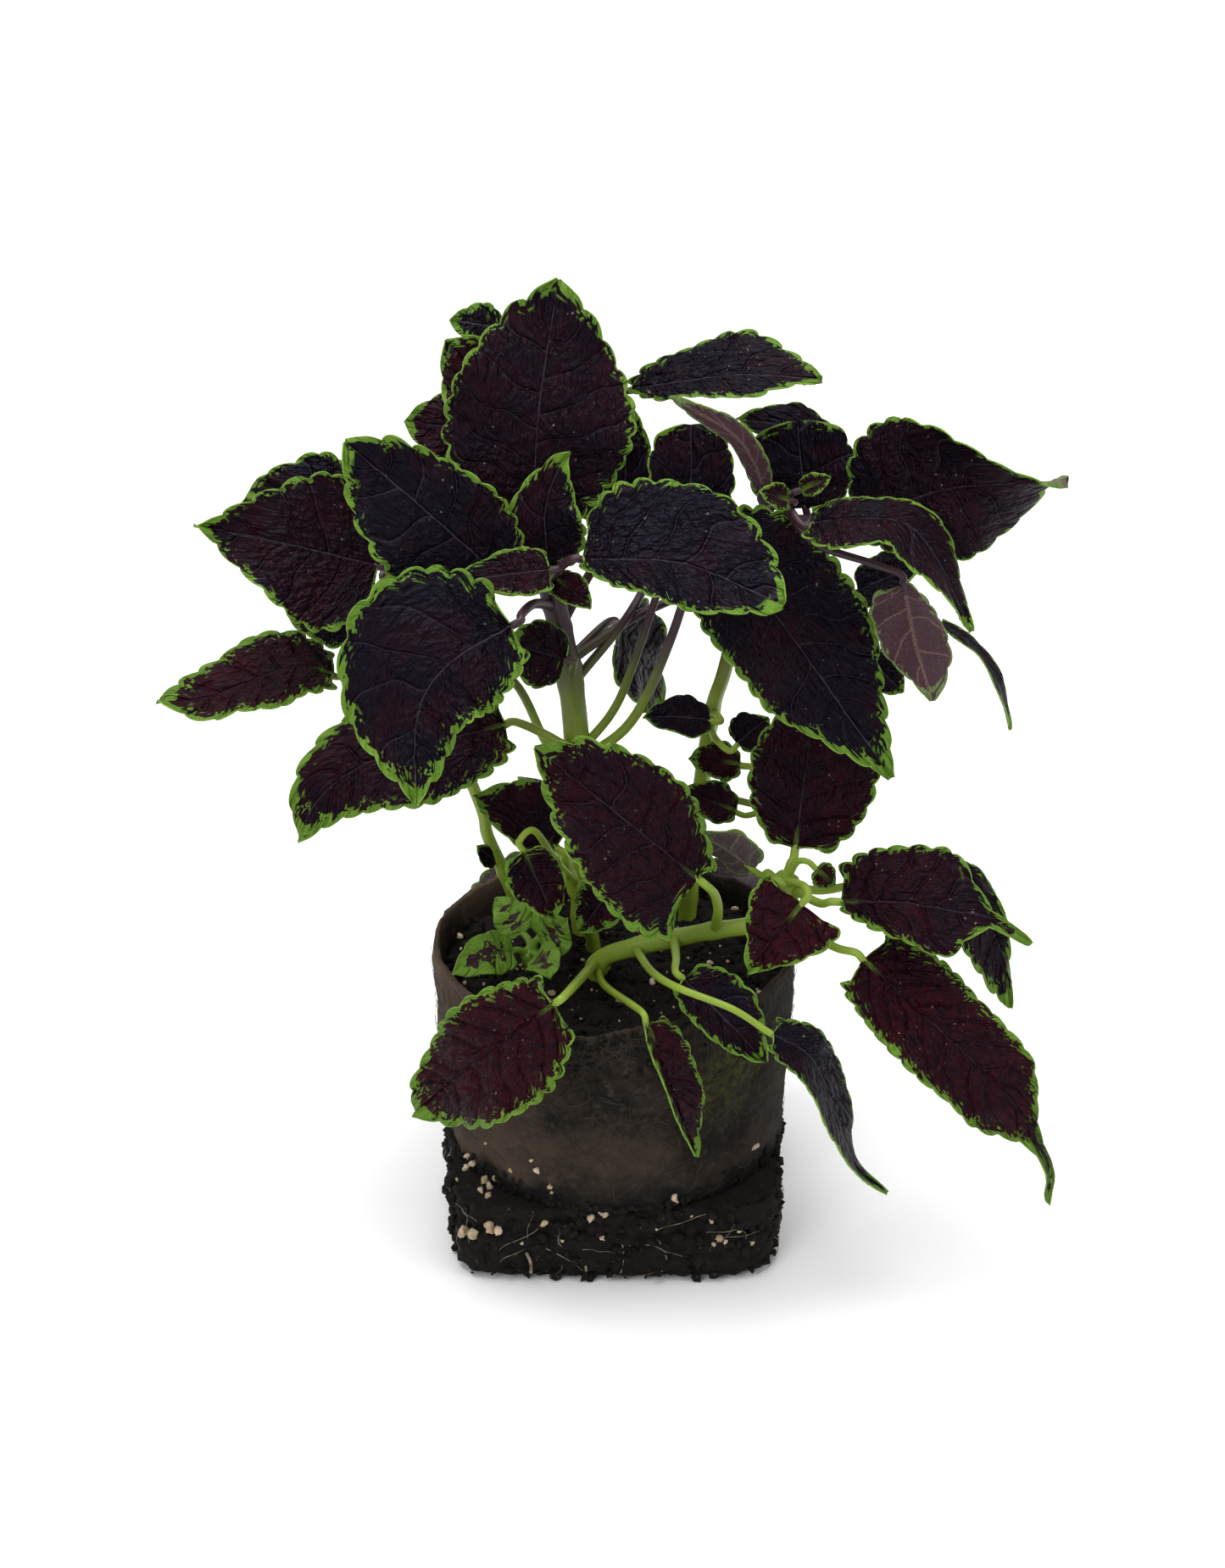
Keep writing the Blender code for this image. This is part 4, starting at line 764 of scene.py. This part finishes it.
def build_sleeve(material):
    """The pressed fibre ring, with its torn rim and dents."""
    columns = 420
    angle = turns(columns)
    low = FOOT_TOP_Z + GAP
    rag = layers(polar(1.0, angle, 0.0), (0.11, 0.5, 3.0), (0.035, 0.3, 9.0))
    top = np.minimum(rim_height(angle) + rag, RIM_Z + 1.0)
    rings = []
    for share in np.linspace(0.0, 1.0, 96):
        z = low + (top - low) * share
        radius = sleeve_radius(z) + roughness_at(angle, SLEEVE_PITCH * share, SLEEVE_ROUGHNESS)
        radius = radius + layers(polar(radius, angle, z), (5.0, 0.35), (1.3, 0.16), (0.5, 0.07))
        radius = radius - 0.25 * ease((share - 0.95) / 0.05)
        rings.append(polar(radius, angle, z))
    outer = np.hypot(rings[-1][:, 0], rings[-1][:, 1])
    inner = sleeve_radius(top) - SLEEVE_WALL
    for share in (0.25, 0.5, 0.75):
        z = top + 0.35 * math.sin(math.pi * share) + rough(polar(inner, angle, share), 0.8, 0.25)
        rings.append(polar(outer + (inner - outer) * share, angle, z))
    for share in np.linspace(1.0, 0.0, 16):
        z = low + (top - low) * share
        radius = sleeve_radius(z) - SLEEVE_WALL
        radius = radius + rough(polar(radius, angle, z), 1.5, 0.2) * share
        rings.append(polar(radius, angle, z))
    turned_piece("fibre_sleeve_felt", rings + rings[:1], material, "fibre", "fibre_sleeve")


def build_fibres(material):
    """Loose fibres that lie on the sleeve."""
    soup = Soup()
    draw = np.random.default_rng(11)
    for _ in range(600):
        angle = draw.uniform(0.0, math.tau)
        share = draw.uniform(0.0, 1.0) ** 0.8
        z = FOOT_TOP_Z + 3.0 + share * (RIM_Z - FOOT_TOP_Z - 4.5)
        lean = draw.normal(0.0, 0.7) + (math.pi / 2 if draw.random() < 0.25 else 0.0)
        length = draw.uniform(2.0, 8.0)
        bend = draw.normal(0.0, 0.5)
        t = np.linspace(-0.5, 0.5, 7)
        turn = angle + length * t * np.cos(lean + bend * t) / MEAN_SLEEVE_RADIUS
        height = np.clip(z + length * t * np.sin(lean + bend * t), FOOT_TOP_Z + 1.0, RIM_Z - 1.2)
        stand = 0.35 + draw.uniform(0.0, 0.25) * np.cos(math.pi * t)
        path = polar(sleeve_surface(turn, height) + stand, turn, height)
        add_tube(soup, path, draw.uniform(0.04, 0.09), 3)
    finish_piece(soup.mesh("fibre_sleeve_loose_fibres", material), "fibre", "fibre_sleeve")


def build_soil(material):
    """The foot and the core in one rough shell, with the stem holes closed round the stems."""
    columns = 480
    angle = turns(columns)
    rings = [polar(POLE_RADIUS, angle, 0.0)]
    profile = [(0.0, 2.6), (0.9, 0.9), (1.8, 0.4), (6.0, 0.0), (11.0, 0.2), (FOOT_GROOVE_Z, 1.3),
               (14.5, 0.3), (18.5, 0.3), (FOOT_TOP_Z, 0.8)]
    heights, insets = zip(*profile)
    for z in np.linspace(0.0, FOOT_TOP_Z, 64):
        radius = foot_surface(angle, z, np.interp(z, heights, insets), FOOT_ROUGHNESS if z else 0.0)
        radius = radius + (soil_clump(angle, z) if z else 0.0)
        spot = polar(radius, angle, z)
        crumb = layers(spot, (3.2, 1.2), (1.2, 0.6), (0.45, 0.25))
        lower = 0.9 * np.clip(rough(spot, 4.0, 1.0, 5.0), 0.0, 1.0) * (z < 1.5)
        rings.append(polar(radius + crumb - 0.3, angle, z + lower * ease(z / 0.4)))
    for share in np.linspace(0.0, 1.0, 14):
        radius = (FOOT_HALF - 1.0) * (1 - share) + (SLEEVE_FOOT_RADIUS - CORE_INSET) * share
        edge = foot_radius(angle, radius) * (1 - share) + radius * share
        z = FOOT_TOP_Z + layers(polar(edge, angle, FOOT_TOP_Z), (3.0, 0.9), (1.0, 0.5)) * (1 - share)
        rings.append(polar(edge, angle, np.minimum(z, FOOT_TOP_Z + 1.2)))
    for z in np.linspace(FOOT_TOP_Z + 2.0, SOIL_TOP_Z - 2.5, 8):
        rings.append(polar(sleeve_radius(z) - CORE_INSET, angle, z))
    for share in np.linspace(0.97, 0.0, 66):
        radius = share * CORE_RADIUS
        z = soil_top(angle, share, SOIL_TOP_ROUGHNESS * ease(share / 0.3))
        z = z + layers(polar(radius, angle, SOIL_TOP_Z), (3.4, 1.1), (1.3, 0.7), (0.5, 0.25))
        rings.append(polar(max(radius, POLE_RADIUS), angle, z - 2.0 * ease((share - 0.9) / 0.07)))
    turned_piece("root_ball_soil_body", rings, material, "soil", "root_ball_soil")


def ball(detail):
    """The corners and triangles of a unit ball."""
    mesh = bpy.data.meshes.new("ball")
    shape = bmesh.new()
    bmesh.ops.create_icosphere(shape, subdivisions=detail, radius=1.0)
    shape.to_mesh(mesh)
    shape.free()
    corners = np.array([v.co for v in mesh.vertices])
    faces = np.array([p.vertices[:] for p in mesh.polygons])
    bpy.data.meshes.remove(mesh)
    return corners, faces


def add_grain(soup, unit_ball, place, size, draw, lumpiness=0.35):
    """A lumpy grain: a stretched ball, dented by noise of its own."""
    corners, faces = unit_ball
    seed = draw.uniform(0.0, 90.0)
    dent = 1.0 + rough(corners, 0.8, lumpiness, seed)
    stretch = draw.uniform(0.7, 1.25, 3)
    turn = draw.normal(size=(3, 3))
    turn, _ = np.linalg.qr(turn)
    soup.add(place + size * (corners * dent[:, None] * stretch) @ turn, faces)


def on_ball(across, up):
    """The place on the front of the root ball that is seen there."""
    for depth in np.arange(-62.0, 20.0, 0.25):
        spot = seen(across, up, depth)
        angle = math.atan2(spot[1], spot[0])
        out = math.hypot(spot[0], spot[1])
        on_sleeve = FOOT_TOP_Z + 0.3 < spot[2] < RIM_Z - 1.0 and out < sleeve_radius(spot[2]) + 0.2
        if on_sleeve or (0.4 < spot[2] <= FOOT_TOP_Z + 0.3 and out < foot_radius(angle, FOOT_HALF) - 0.2):
            return spot
    return seen(across, up, 0.0)


def build_crumbs(material):
    """Crumbs of soil on the foot, on the soil's top, and on the foot of the sleeve."""
    soup = Soup()
    draw = np.random.default_rng(5)
    small = ball(1)
    for _ in range(1000):
        angle = draw.uniform(0.0, math.tau)
        z = draw.uniform(0.8, FOOT_TOP_Z + 0.5)
        out = foot_surface(angle, z) + soil_clump(angle, z) - 0.4
        add_grain(soup, small, polar(out, angle, z), 0.3 + 1.3 * draw.random() ** 2, draw, 0.8)
    for _ in range(700):
        angle = draw.uniform(0.0, math.tau)
        out = STREWN_RADIUS * draw.uniform(0.0, 1.0) ** 0.5
        z = soil_top(angle, out / CORE_RADIUS) + 0.2
        add_grain(soup, small, polar(out, angle, z), draw.uniform(0.35, 1.3), draw, 0.6)
    for _ in range(500):
        angle = draw.uniform(0.0, math.tau)
        corner = foot_radius(angle, 1.0) - 1.0
        z = FOOT_TOP_Z + 0.5 + (1.5 + 14.0 * corner) * draw.uniform(0.0, 1.0) ** 2
        out = sleeve_surface(angle, z) + 0.1
        add_grain(soup, small, polar(out, angle, z), draw.uniform(0.3, 1.0), draw, 0.6)
    for _ in range(380):
        angle = draw.normal(-0.53 * math.pi, 0.3)
        drop = abs(draw.normal(0.0, 4.0))
        z = rim_height(angle) - drop
        out = sleeve_surface(angle, z) - (SLEEVE_WALL * draw.random() if drop < 1.0 else 0.2)
        add_grain(soup, small, polar(out, angle, z), draw.uniform(0.25, 0.8), draw, 0.6)
    finish_piece(soup.mesh("root_ball_soil_crumbs", material), "soil", "root_ball_soil")


# Pale grains that are seen on the root ball: across, up, size
PERLITE = [
    (-34.6, 11.2, 1.4), (-33.4, 9.4, 1.5), (-35.0, 8.4, 1.2), (-30.8, 5.4, 1.4), (-29.4, 3.9, 1.6),
    (-31.6, 3.0, 1.3), (-28.2, 6.0, 1.0), (-29.8, 1.8, 1.1), (-35.8, -6.6, 2.1), (-33.6, -7.0, 1.5),
    (-29.4, -5.6, 2.0), (-27.6, -6.4, 1.4), (-39.6, -10.0, 1.3), (-16.6, -4.6, 1.0), (-5.6, -3.4, 1.3),
    (-2.4, -2.0, 1.5), (13.9, 1.6, 1.6), (14.2, 0.6, 1.0), (-2.8, -8.0, 1.0), (22.8, -4.2, 0.8),
    (24.6, -8.2, 1.3), (26.2, -9.0, 1.0), (23.4, -9.6, 0.9), (32.4, -9.2, 0.9), (33.0, 13.4, 1.3),
    (-24.6, 7.8, 0.8), (-19.6, 10.2, 0.7), (-18.4, 7.8, 0.9), (-15.2, 4.0, 0.8), (-14.8, 2.6, 0.6),
    (-30.4, 14.2, 0.6), (-21.8, -9.4, 0.7), (3.4, -9.6, 0.6), (9.8, -6.0, 0.6), (29.4, -6.6, 0.6),
    (-12.4, -8.8, 0.6), (18.2, -3.0, 0.5), (-37.2, 5.6, 0.7),
]


def build_perlite(material):
    soup = Soup()
    draw = np.random.default_rng(23)
    fine = ball(2)
    for across, up, size in PERLITE:
        add_grain(soup, fine, on_ball(across, up), 0.7 * size, draw, 0.9)
    for _ in range(150):
        angle = draw.uniform(-0.1 * math.pi, 1.1 * math.pi)
        z = 1.5 + 17.0 * draw.random()
        out = foot_surface(angle, z) - 0.2
        add_grain(soup, fine, polar(out, angle, z), 0.3 + 0.9 * draw.random() ** 3, draw, 0.5)
    for _ in range(110):
        angle = draw.uniform(0.0, math.tau)
        out = STREWN_RADIUS * draw.random() ** 0.5
        z = soil_top(angle, out / CORE_RADIUS) + 0.5
        add_grain(soup, fine, polar(out, angle, z), 0.25 + 0.8 * draw.random() ** 3, draw, 0.5)
    finish_piece(soup.mesh("root_ball_soil_pale_grains", material), "soil", "root_ball_soil")


# Roots that are seen on the foot: where each begins and ends, and its radius
ROOTS = [
    ((-20.8, -11.6), (-20.2, -17.8), 0.4), ((-8.2, -13.4), (-7.0, -16.6), 0.34),
    ((1.6, -8.6), (1.0, -17.6), 0.2), ((10.4, -8.6), (12.4, -16.8), 0.22),
    ((-16.2, -10.6), (-6.8, -16.4), 0.1), ((39.2, -5.0), (38.6, -14.0), 0.1),
    ((17.0, -10.0), (23.0, -15.4), 0.09), ((5.6, -12.4), (8.2, -17.2), 0.09),
]


def build_roots(material):
    soup = Soup()
    draw = np.random.default_rng(31)
    for (across, up), (far_across, far_up), radius in ROOTS:
        route = []
        for t in np.linspace(0.0, 1.0, 5):
            bowed = across + (far_across - across) * t + math.sin(math.pi * t) * 0.8
            route.append(on_ball(bowed, max(up + (far_up - up) * t, -18.0)))
        add_tube(soup, smooth_path(route, 5), radius, 6)
    for _ in range(50):
        angle = draw.uniform(0.0, math.tau)
        z = draw.uniform(1.0, 18.0)
        length = draw.uniform(3.0, 12.0)
        lean = draw.uniform(0.0, math.pi)
        t = np.linspace(-0.5, 0.5, 9)
        turn = angle + (length * t * math.cos(lean) + 0.8 * np.sin(5.0 * t)) / MEAN_FOOT_RADIUS
        height = np.clip(z + length * t * math.sin(lean), 0.6, 19.5)
        out = foot_surface(turn, height) + soil_clump(turn, height) + 0.25 + 0.3 * np.cos(9.0 * t)
        add_tube(soup, polar(out, turn, height), draw.uniform(0.04, 0.08), 4)
    finish_piece(soup.mesh("root_ball_soil_roots", material), "soil", "root_ball_soil")


class Value:
    """A value inside a material. Arithmetic with it adds the nodes that work it out."""

    def __init__(self, look, socket):
        self.look = look
        self.socket = socket

    def __add__(self, other):
        return self.look.math("ADD", self, other)

    def __sub__(self, other):
        return self.look.math("SUBTRACT", self, other)

    def __rsub__(self, other):
        return self.look.math("SUBTRACT", other, self)

    def __mul__(self, other):
        return self.look.math("MULTIPLY", self, other)

    def __truediv__(self, other):
        return self.look.math("DIVIDE", self, other)


class Look:
    """A node material, written as formulas."""

    def __init__(self, name, roughness, **constants):
        self.material = bpy.data.materials.new(name)
        self.material.use_nodes = True
        self.tree = self.material.node_tree
        self.shader = self.tree.nodes["Principled BSDF"]
        self.feed(self.shader.inputs["Roughness"], roughness)
        for key, value in constants.items():
            self.feed(self.shader.inputs[key.replace("_", " ")], value)

    def feed(self, socket, value):
        if isinstance(value, Value):
            self.tree.links.new(value.socket, socket)
        else:
            socket.default_value = (*value, 1.0) if socket.type == "RGBA" else value

    def node(self, kind, inputs, output=0, **settings):
        made = self.tree.nodes.new("ShaderNode" + kind)
        for key, value in settings.items():
            setattr(made, key, value)
        for key, value in inputs.items():
            self.feed(made.inputs[key], value)
        return Value(self, made.outputs[output])

    def math(self, operation, *values, clamp=False):
        return self.node("Math", dict(enumerate(values)), operation=operation, use_clamp=clamp)

    def step(self, value, low, high):
        """0 at low, 1 at high, smooth between."""
        ends = {"Value": value, "From Min": low, "From Max": high}
        return self.node("MapRange", ends, "Result", interpolation_type="SMOOTHSTEP")

    def mix(self, factor, first, second):
        return self.node("Mix", {0: factor, 6: first, 7: second}, 2, data_type="RGBA")

    def attribute(self, name):
        """The three numbers of a vector attribute, and the vector."""
        vector = self.node("Attribute", {}, "Vector", attribute_name=name)
        return [*self.parts(vector), vector]

    def parts(self, vector):
        split = self.node("SeparateXYZ", {0: vector}).socket.node
        return [Value(self, socket) for socket in split.outputs]

    def place(self, *values):
        """A vector made of three numbers."""
        return self.node("CombineXYZ", dict(enumerate(values)))

    def apart(self, place, centre):
        """The distance of the place from a centre."""
        return self.node("VectorMath", {0: place, 1: centre}, "Value", operation="DISTANCE")

    def object_place(self):
        return self.node("TexCoord", {}, "Object")

    def noise(self, place, scale, detail=3.0, roughness=0.55, output="Fac"):
        inputs = {"Vector": place, "Scale": scale, "Detail": detail, "Roughness": roughness}
        return self.node("TexNoise", inputs, output)

    def cells(self, place, scale, feature):
        """The distance to the nearest border or middle of a cell."""
        return self.node("TexVoronoi", {"Vector": place, "Scale": scale}, "Distance", feature=feature)

    def warp(self, place, scale, size):
        """The place, shifted by noise."""
        shift = self.noise(place, scale, 2.0, 0.5, "Color")
        return self.node("VectorMath", {0: shift, 1: (size,) * 3, 2: place}, operation="MULTIPLY_ADD")

    def bump(self, height, distance, strength=1.0, **after):
        inputs = {"Strength": strength, "Distance": distance, "Height": height}
        return self.node("Bump", inputs | after, "Normal")

    def done(self, colour, **others):
        for key, value in {"Base Color": colour, **others}.items():
            self.feed(self.shader.inputs[key], value)
        return self.material


class LeafLook(Look):
    """The look of a blade, which reads what blade_shell wrote on its mesh."""

    def __init__(self, name, roughness, **constants):
        super().__init__(name, roughness, **constants)
        self.edge, self.vein, offset, _ = self.attribute("blade")
        _, _, self.seed, self.skin = self.attribute("sheet")
        self.redness, self.band, self.run, _ = self.attribute("tone")
        self.off_rib = self.math("ABSOLUTE", offset)
        self.off_side = 0.5 - self.math("ABSOLUTE", self.math("FRACT", self.vein) - 0.5)
        lattice = self.place(self.vein * 3.6, self.off_rib * 0.7, self.seed)
        self.wrinkles = self.noise(lattice, 1.0, 2.0, 0.5)

    def reddened(self, scale, swing):
        """The leaf's redness, uneven from patch to patch."""
        patches = (self.noise(self.skin, scale, 3.0) - 0.5) * swing
        return self.math("ADD", self.redness, patches, clamp=True)

    def green_margin(self, swing):
        """1 in the green margin, whose inner side runs inwards in ragged tongues and flecks."""
        inward = self.place(self.vein * 3.1, self.edge * 0.5, self.seed)
        tongues = self.noise(inward, 1.0, 2.0, 0.65)
        broad = self.noise(self.skin, 0.16, 1.0, 0.5)
        specks = self.noise(inward, 2.1, 1.0, 0.5)
        reach = (tongues - 0.5) * swing + 0.3 + broad * 1.4
        solid = self.step(self.band * self.math("MAXIMUM", reach, 0.25) - self.edge, -0.06, 0.08)
        fleck = self.step(specks, 0.57, 0.62) * self.step(self.edge / self.band, 3.2, 1.4)
        return self.math("MAXIMUM", solid, fleck)


def leaf_upper_material():
    look = LeafLook("leaf_upper", 0.45, Specular_IOR_Level=0.09, Specular_Tint=(0.72, 0.74, 1.0))
    skin, off_rib, off_side = look.skin, look.off_rib, look.off_side
    redness = look.reddened(0.09, 1.5)
    dark = look.mix(redness, (0.0032, 0.0015, 0.0042), (0.023, 0.0013, 0.0024))
    mottle = look.step(look.noise(skin, 0.5, 4.0), 0.35, 0.7)
    dark = look.mix(mottle * 0.65, dark, (0.0016, 0.001, 0.0022))
    pale_rib = look.mix(redness, (0.05, 0.042, 0.06), (0.012, 0.003, 0.007))
    rib = look.step(off_rib, 0.34, 0.14) * 0.8
    side_rib = look.step(off_side, 0.03, 0.008) * 0.3
    dark = look.mix(look.math("MAXIMUM", rib, side_rib), dark, pale_rib)
    base = look.step(look.run, 6.0, 1.0) * look.step(off_rib, 0.8, 0.35)
    dark = look.mix(base * look.step(look.redness, 0.4, 0.6), dark, (0.085, 0.13, 0.02))
    green = look.mix(look.noise(skin, 0.35, 2.0), (0.055, 0.128, 0.011), (0.135, 0.245, 0.026))
    green = look.mix(look.step(look.edge, 0.3, 0.0), green, (0.17, 0.3, 0.04))
    colour = look.mix(look.green_margin(5.0), dark, green)
    dust = look.step(look.cells(look.warp(skin, 1.1, 1.6), 0.62, "F1"), 0.16, 0.08)
    for scale, detail, low, high in ((0.06, 1.0, 0.46, 0.56), (0.42, 2.0, 0.5, 0.6)):
        dust = dust * look.step(look.noise(skin, scale, detail), low, high)
    colour = look.mix(dust * 0.6, colour, (0.3, 0.24, 0.18))
    grooves = look.step(off_side, 0.0, 0.1) * look.step(off_rib, 0.0, 0.6)
    normal = look.bump(look.wrinkles * 2.6 + grooves * 0.6, 0.0009)
    normal = look.bump(look.noise(skin, 4.0, 2.0), 0.00008, 0.6, Normal=normal)
    return look.done(colour, Normal=normal, Roughness=look.noise(skin, 0.8, 3.0) * 0.3 + 0.28)


def leaf_under_material():
    look = LeafLook("leaf_under", 0.62, Specular_IOR_Level=0.25, Sheen_Weight=0.06, Sheen_Roughness=0.5,
                    Sheen_Tint=(0.8, 0.7, 0.8))
    net = look.cells(look.warp(look.skin, 0.9, 0.5), 0.8, "DISTANCE_TO_EDGE")
    redness = look.reddened(0.12, 0.6)
    flesh = look.mix(redness, (0.085, 0.06, 0.068), (0.042, 0.012, 0.019))
    flesh = look.mix(look.step(look.wrinkles, 0.4, 0.7) * 0.5, flesh, (0.03, 0.013, 0.022))
    lines = look.math("MAXIMUM", look.step(look.off_rib, 0.5, 0.25), look.step(look.off_side, 0.05, 0.02))
    lines = look.math("MAXIMUM", lines, look.step(net, 0.05, 0.02) * 0.3)
    vein = look.mix(redness, (0.16, 0.15, 0.1), (0.12, 0.062, 0.055))
    colour = look.mix(lines * 0.85, flesh, vein)
    colour = look.mix(look.green_margin(1.3), colour, (0.12, 0.17, 0.05))
    height = look.step(net, 0.12, 0.0) + look.wrinkles * 1.5
    return look.done(colour, Normal=look.bump(height, 0.0003, 0.8))


def shoot_upper_material():
    """The young basal shoots: green, with a purple middle."""
    look = LeafLook("shoot_upper", 0.5, Specular_IOR_Level=0.25)
    green = look.mix(look.noise(look.skin, 0.4, 2.0), (0.07, 0.16, 0.012), (0.17, 0.31, 0.028))
    colour = look.mix(look.green_margin(1.6), (0.03, 0.008, 0.016), green)
    height = look.wrinkles * 2.0 + look.step(look.off_side, 0.0, 0.12)
    return look.done(colour, Normal=look.bump(height, 0.0004, 0.9))


def stem_material(name, first, second, worn):
    """Green, worn in places, and dark purple near the crown: young stalks' purple and painted shade of its
    leaves.
    """
    look = Look(name, 0.42, Specular_IOR_Level=0.3, Subsurface_Weight=0.1, Subsurface_Scale=0.002,
                Subsurface_Radius=(0.8, 1.0, 0.15))
    place = look.object_place()
    colour = look.mix(look.noise(place, 60.0, 3.0), first, second)
    colour = look.mix(look.step(look.noise(place, 180.0, 4.0), 0.62, 0.78) * 0.5, colour, worn)
    # Painted shade: the stems turn dark purple under the crown, where its leaves shade them. The young
    # stalks there are purple too.
    high = look.noise(place, 90.0, 2.0) * 0.012 + look.parts(place)[2]
    colour = look.mix(look.step(high, 0.125, 0.158), colour, (0.028, 0.011, 0.016))
    return look.done(colour, Normal=look.bump(look.noise(place, 900.0, 2.0), 0.0001, 0.5))


def felt_material():
    """Damp pressed fibre: mottled, paler where the rim is worn, black low down, mossy at one side."""
    look = Look("sleeve_felt", 0.9, Specular_IOR_Level=0.15)
    place = look.object_place()
    across, _, up = look.parts(place)
    mottle = look.noise(place, 45.0, 6.0, 0.65)
    fine = look.noise(place, 500.0, 4.0, 0.7)
    left = look.step(across, 0.005, -0.04)
    rim = look.step(look.noise(place, 160.0, 3.0) * 0.01 + up, 0.0715, 0.078)
    moss = look.apart(place, MOSS_MIDDLE) + (mottle - 0.5) * 0.03
    low = look.step(look.noise(place, 70.0, 5.0) * -0.03 + up, 0.013, 0.006)
    colour = look.mix(look.step(mottle, 0.35, 0.68), (0.0075, 0.006, 0.0048), (0.034, 0.0245, 0.018))
    for share, tint in ((look.step(fine, 0.45, 0.8) * 0.7, (0.058, 0.044, 0.033)),
                        (left * look.step(mottle, 0.3, 0.6), (0.062, 0.044, 0.03)),
                        (look.step(across, 0.01, 0.04) * 0.4, (0.008, 0.0065, 0.004)),
                        (rim * (left * 0.5 + 0.15), (0.1, 0.068, 0.047)),
                        (look.step(moss, 0.013, 0.002) * look.step(fine, 0.35, 0.65), (0.05, 0.052, 0.012)),
                        (low, (0.0045, 0.0038, 0.0034))):
        colour = look.mix(share, colour, tint)
    crumbs = look.noise(place, 420.0, 5.0, 0.7)
    return look.done(colour, Normal=look.bump(crumbs, 0.0014, 0.8, Normal=look.bump(mottle, 0.003, 0.7)))


def soil_material(name, first, second):
    look = Look(name, 0.92, Specular_IOR_Level=0.2)
    place = look.object_place()
    colour = look.mix(look.noise(place, 220.0, 6.0, 0.7), first, second)
    # Pale flecks: partly the soil's own pale bits, partly painted highlights on its crumbs
    colour = look.mix(look.step(look.noise(place, 900.0, 2.0), 0.68, 0.75) * 0.6, colour, (0.13, 0.1, 0.07))
    return look.done(colour, Normal=look.bump(look.noise(place, 600.0, 6.0, 0.75), 0.0012, 0.9))


def grain_material(name, first, second, roughness):
    look = Look(name, roughness)
    place = look.object_place()
    colour = look.mix(look.step(look.noise(place, 300.0, 4.0), 0.35, 0.65), first, second)
    return look.done(colour, Normal=look.bump(look.noise(place, 1500.0, 3.0), 0.0004, 0.6))


def link(made):
    bpy.context.scene.collection.objects.link(made)
    return made


def build_stage():
    """A pale floor, and soft light from all sides and above."""
    mesh = bpy.data.meshes.new("floor")
    corners = [(x * FLOOR_HALF, y * FLOOR_HALF, FLOOR_Z) for x, y in ((-1, -1), (1, -1), (1, 1), (-1, 1))]
    mesh.from_pydata(corners, [], [(0, 1, 2, 3)])
    mesh.materials.append(Look("pale_floor", 0.9).done((0.82, 0.82, 0.82)))
    link(bpy.data.objects.new("floor", mesh))
    world = bpy.data.worlds.new("soft_sky")
    world.use_nodes = True
    background = world.node_tree.nodes["Background"]
    background.inputs["Color"].default_value = (1.0, 1.0, 1.0, 1.0)
    background.inputs["Strength"].default_value = SKY_STRENGTH
    bpy.context.scene.world = world
    for name, place, width, power in LAMPS:
        lamp = bpy.data.lights.new(name, "AREA")
        lamp.energy = power
        lamp.size = width
        made = link(bpy.data.objects.new(name, lamp))
        made.location = place
        aim = Vector((0.0, 0.0, LOOK_HEIGHT * MM)) - Vector(place)
        made.rotation_euler = aim.to_track_quat("-Z", "Y").to_euler()


def build_camera():
    """The camera stands at the look's eye."""
    data = bpy.data.cameras.new("camera")
    data.sensor_width = SENSOR_SIZE
    data.lens = SENSOR_SIZE * LOOK_DISTANCE / PICTURE_HEIGHT
    camera = link(bpy.data.objects.new("camera", data))
    forward = Vector((0.0, math.cos(LOOK_TILT), -math.sin(LOOK_TILT)))
    camera.location = (Vector((LOOK_ACROSS, 0.0, LOOK_HEIGHT)) - forward * LOOK_DISTANCE) * MM
    camera.rotation_euler = forward.to_track_quat("-Z", "Y").to_euler()
    bpy.context.scene.camera = camera


def main():
    bpy.context.scene.view_settings.view_transform = "Standard"
    build_stage()
    build_camera()
    leaf_materials = [leaf_upper_material(), leaf_under_material()]
    shoot_materials = [shoot_upper_material(), leaf_materials[1]]
    stem = stem_material("stem_green", (0.12, 0.19, 0.012), (0.27, 0.37, 0.035), (0.14, 0.11, 0.03))
    shoot = stem_material("shoot_green", (0.08, 0.17, 0.012), (0.17, 0.3, 0.03), (0.1, 0.12, 0.03))
    soil = soil_material("soil_dark", (0.0035, 0.003, 0.0028), (0.013, 0.0105, 0.0085))
    build_soil(soil)
    build_crumbs(soil)
    build_perlite(grain_material("pale_grain", (0.34, 0.25, 0.14), (0.55, 0.46, 0.32), 0.75))
    build_roots(grain_material("root_pale", (0.08, 0.055, 0.032), (0.3, 0.25, 0.18), 0.6))
    build_sleeve(felt_material())
    build_fibres(grain_material("fibre_brown", (0.014, 0.01, 0.007), (0.045, 0.033, 0.024), 0.9))
    for name in STEMS:
        young = name == "basal_shoots"
        build_stem(name, shoot if young else stem, shoot_materials if young else leaf_materials)
    for leaf in LEAVES:
        build_blade(leaf, leaf_materials, leaf.name)


main()
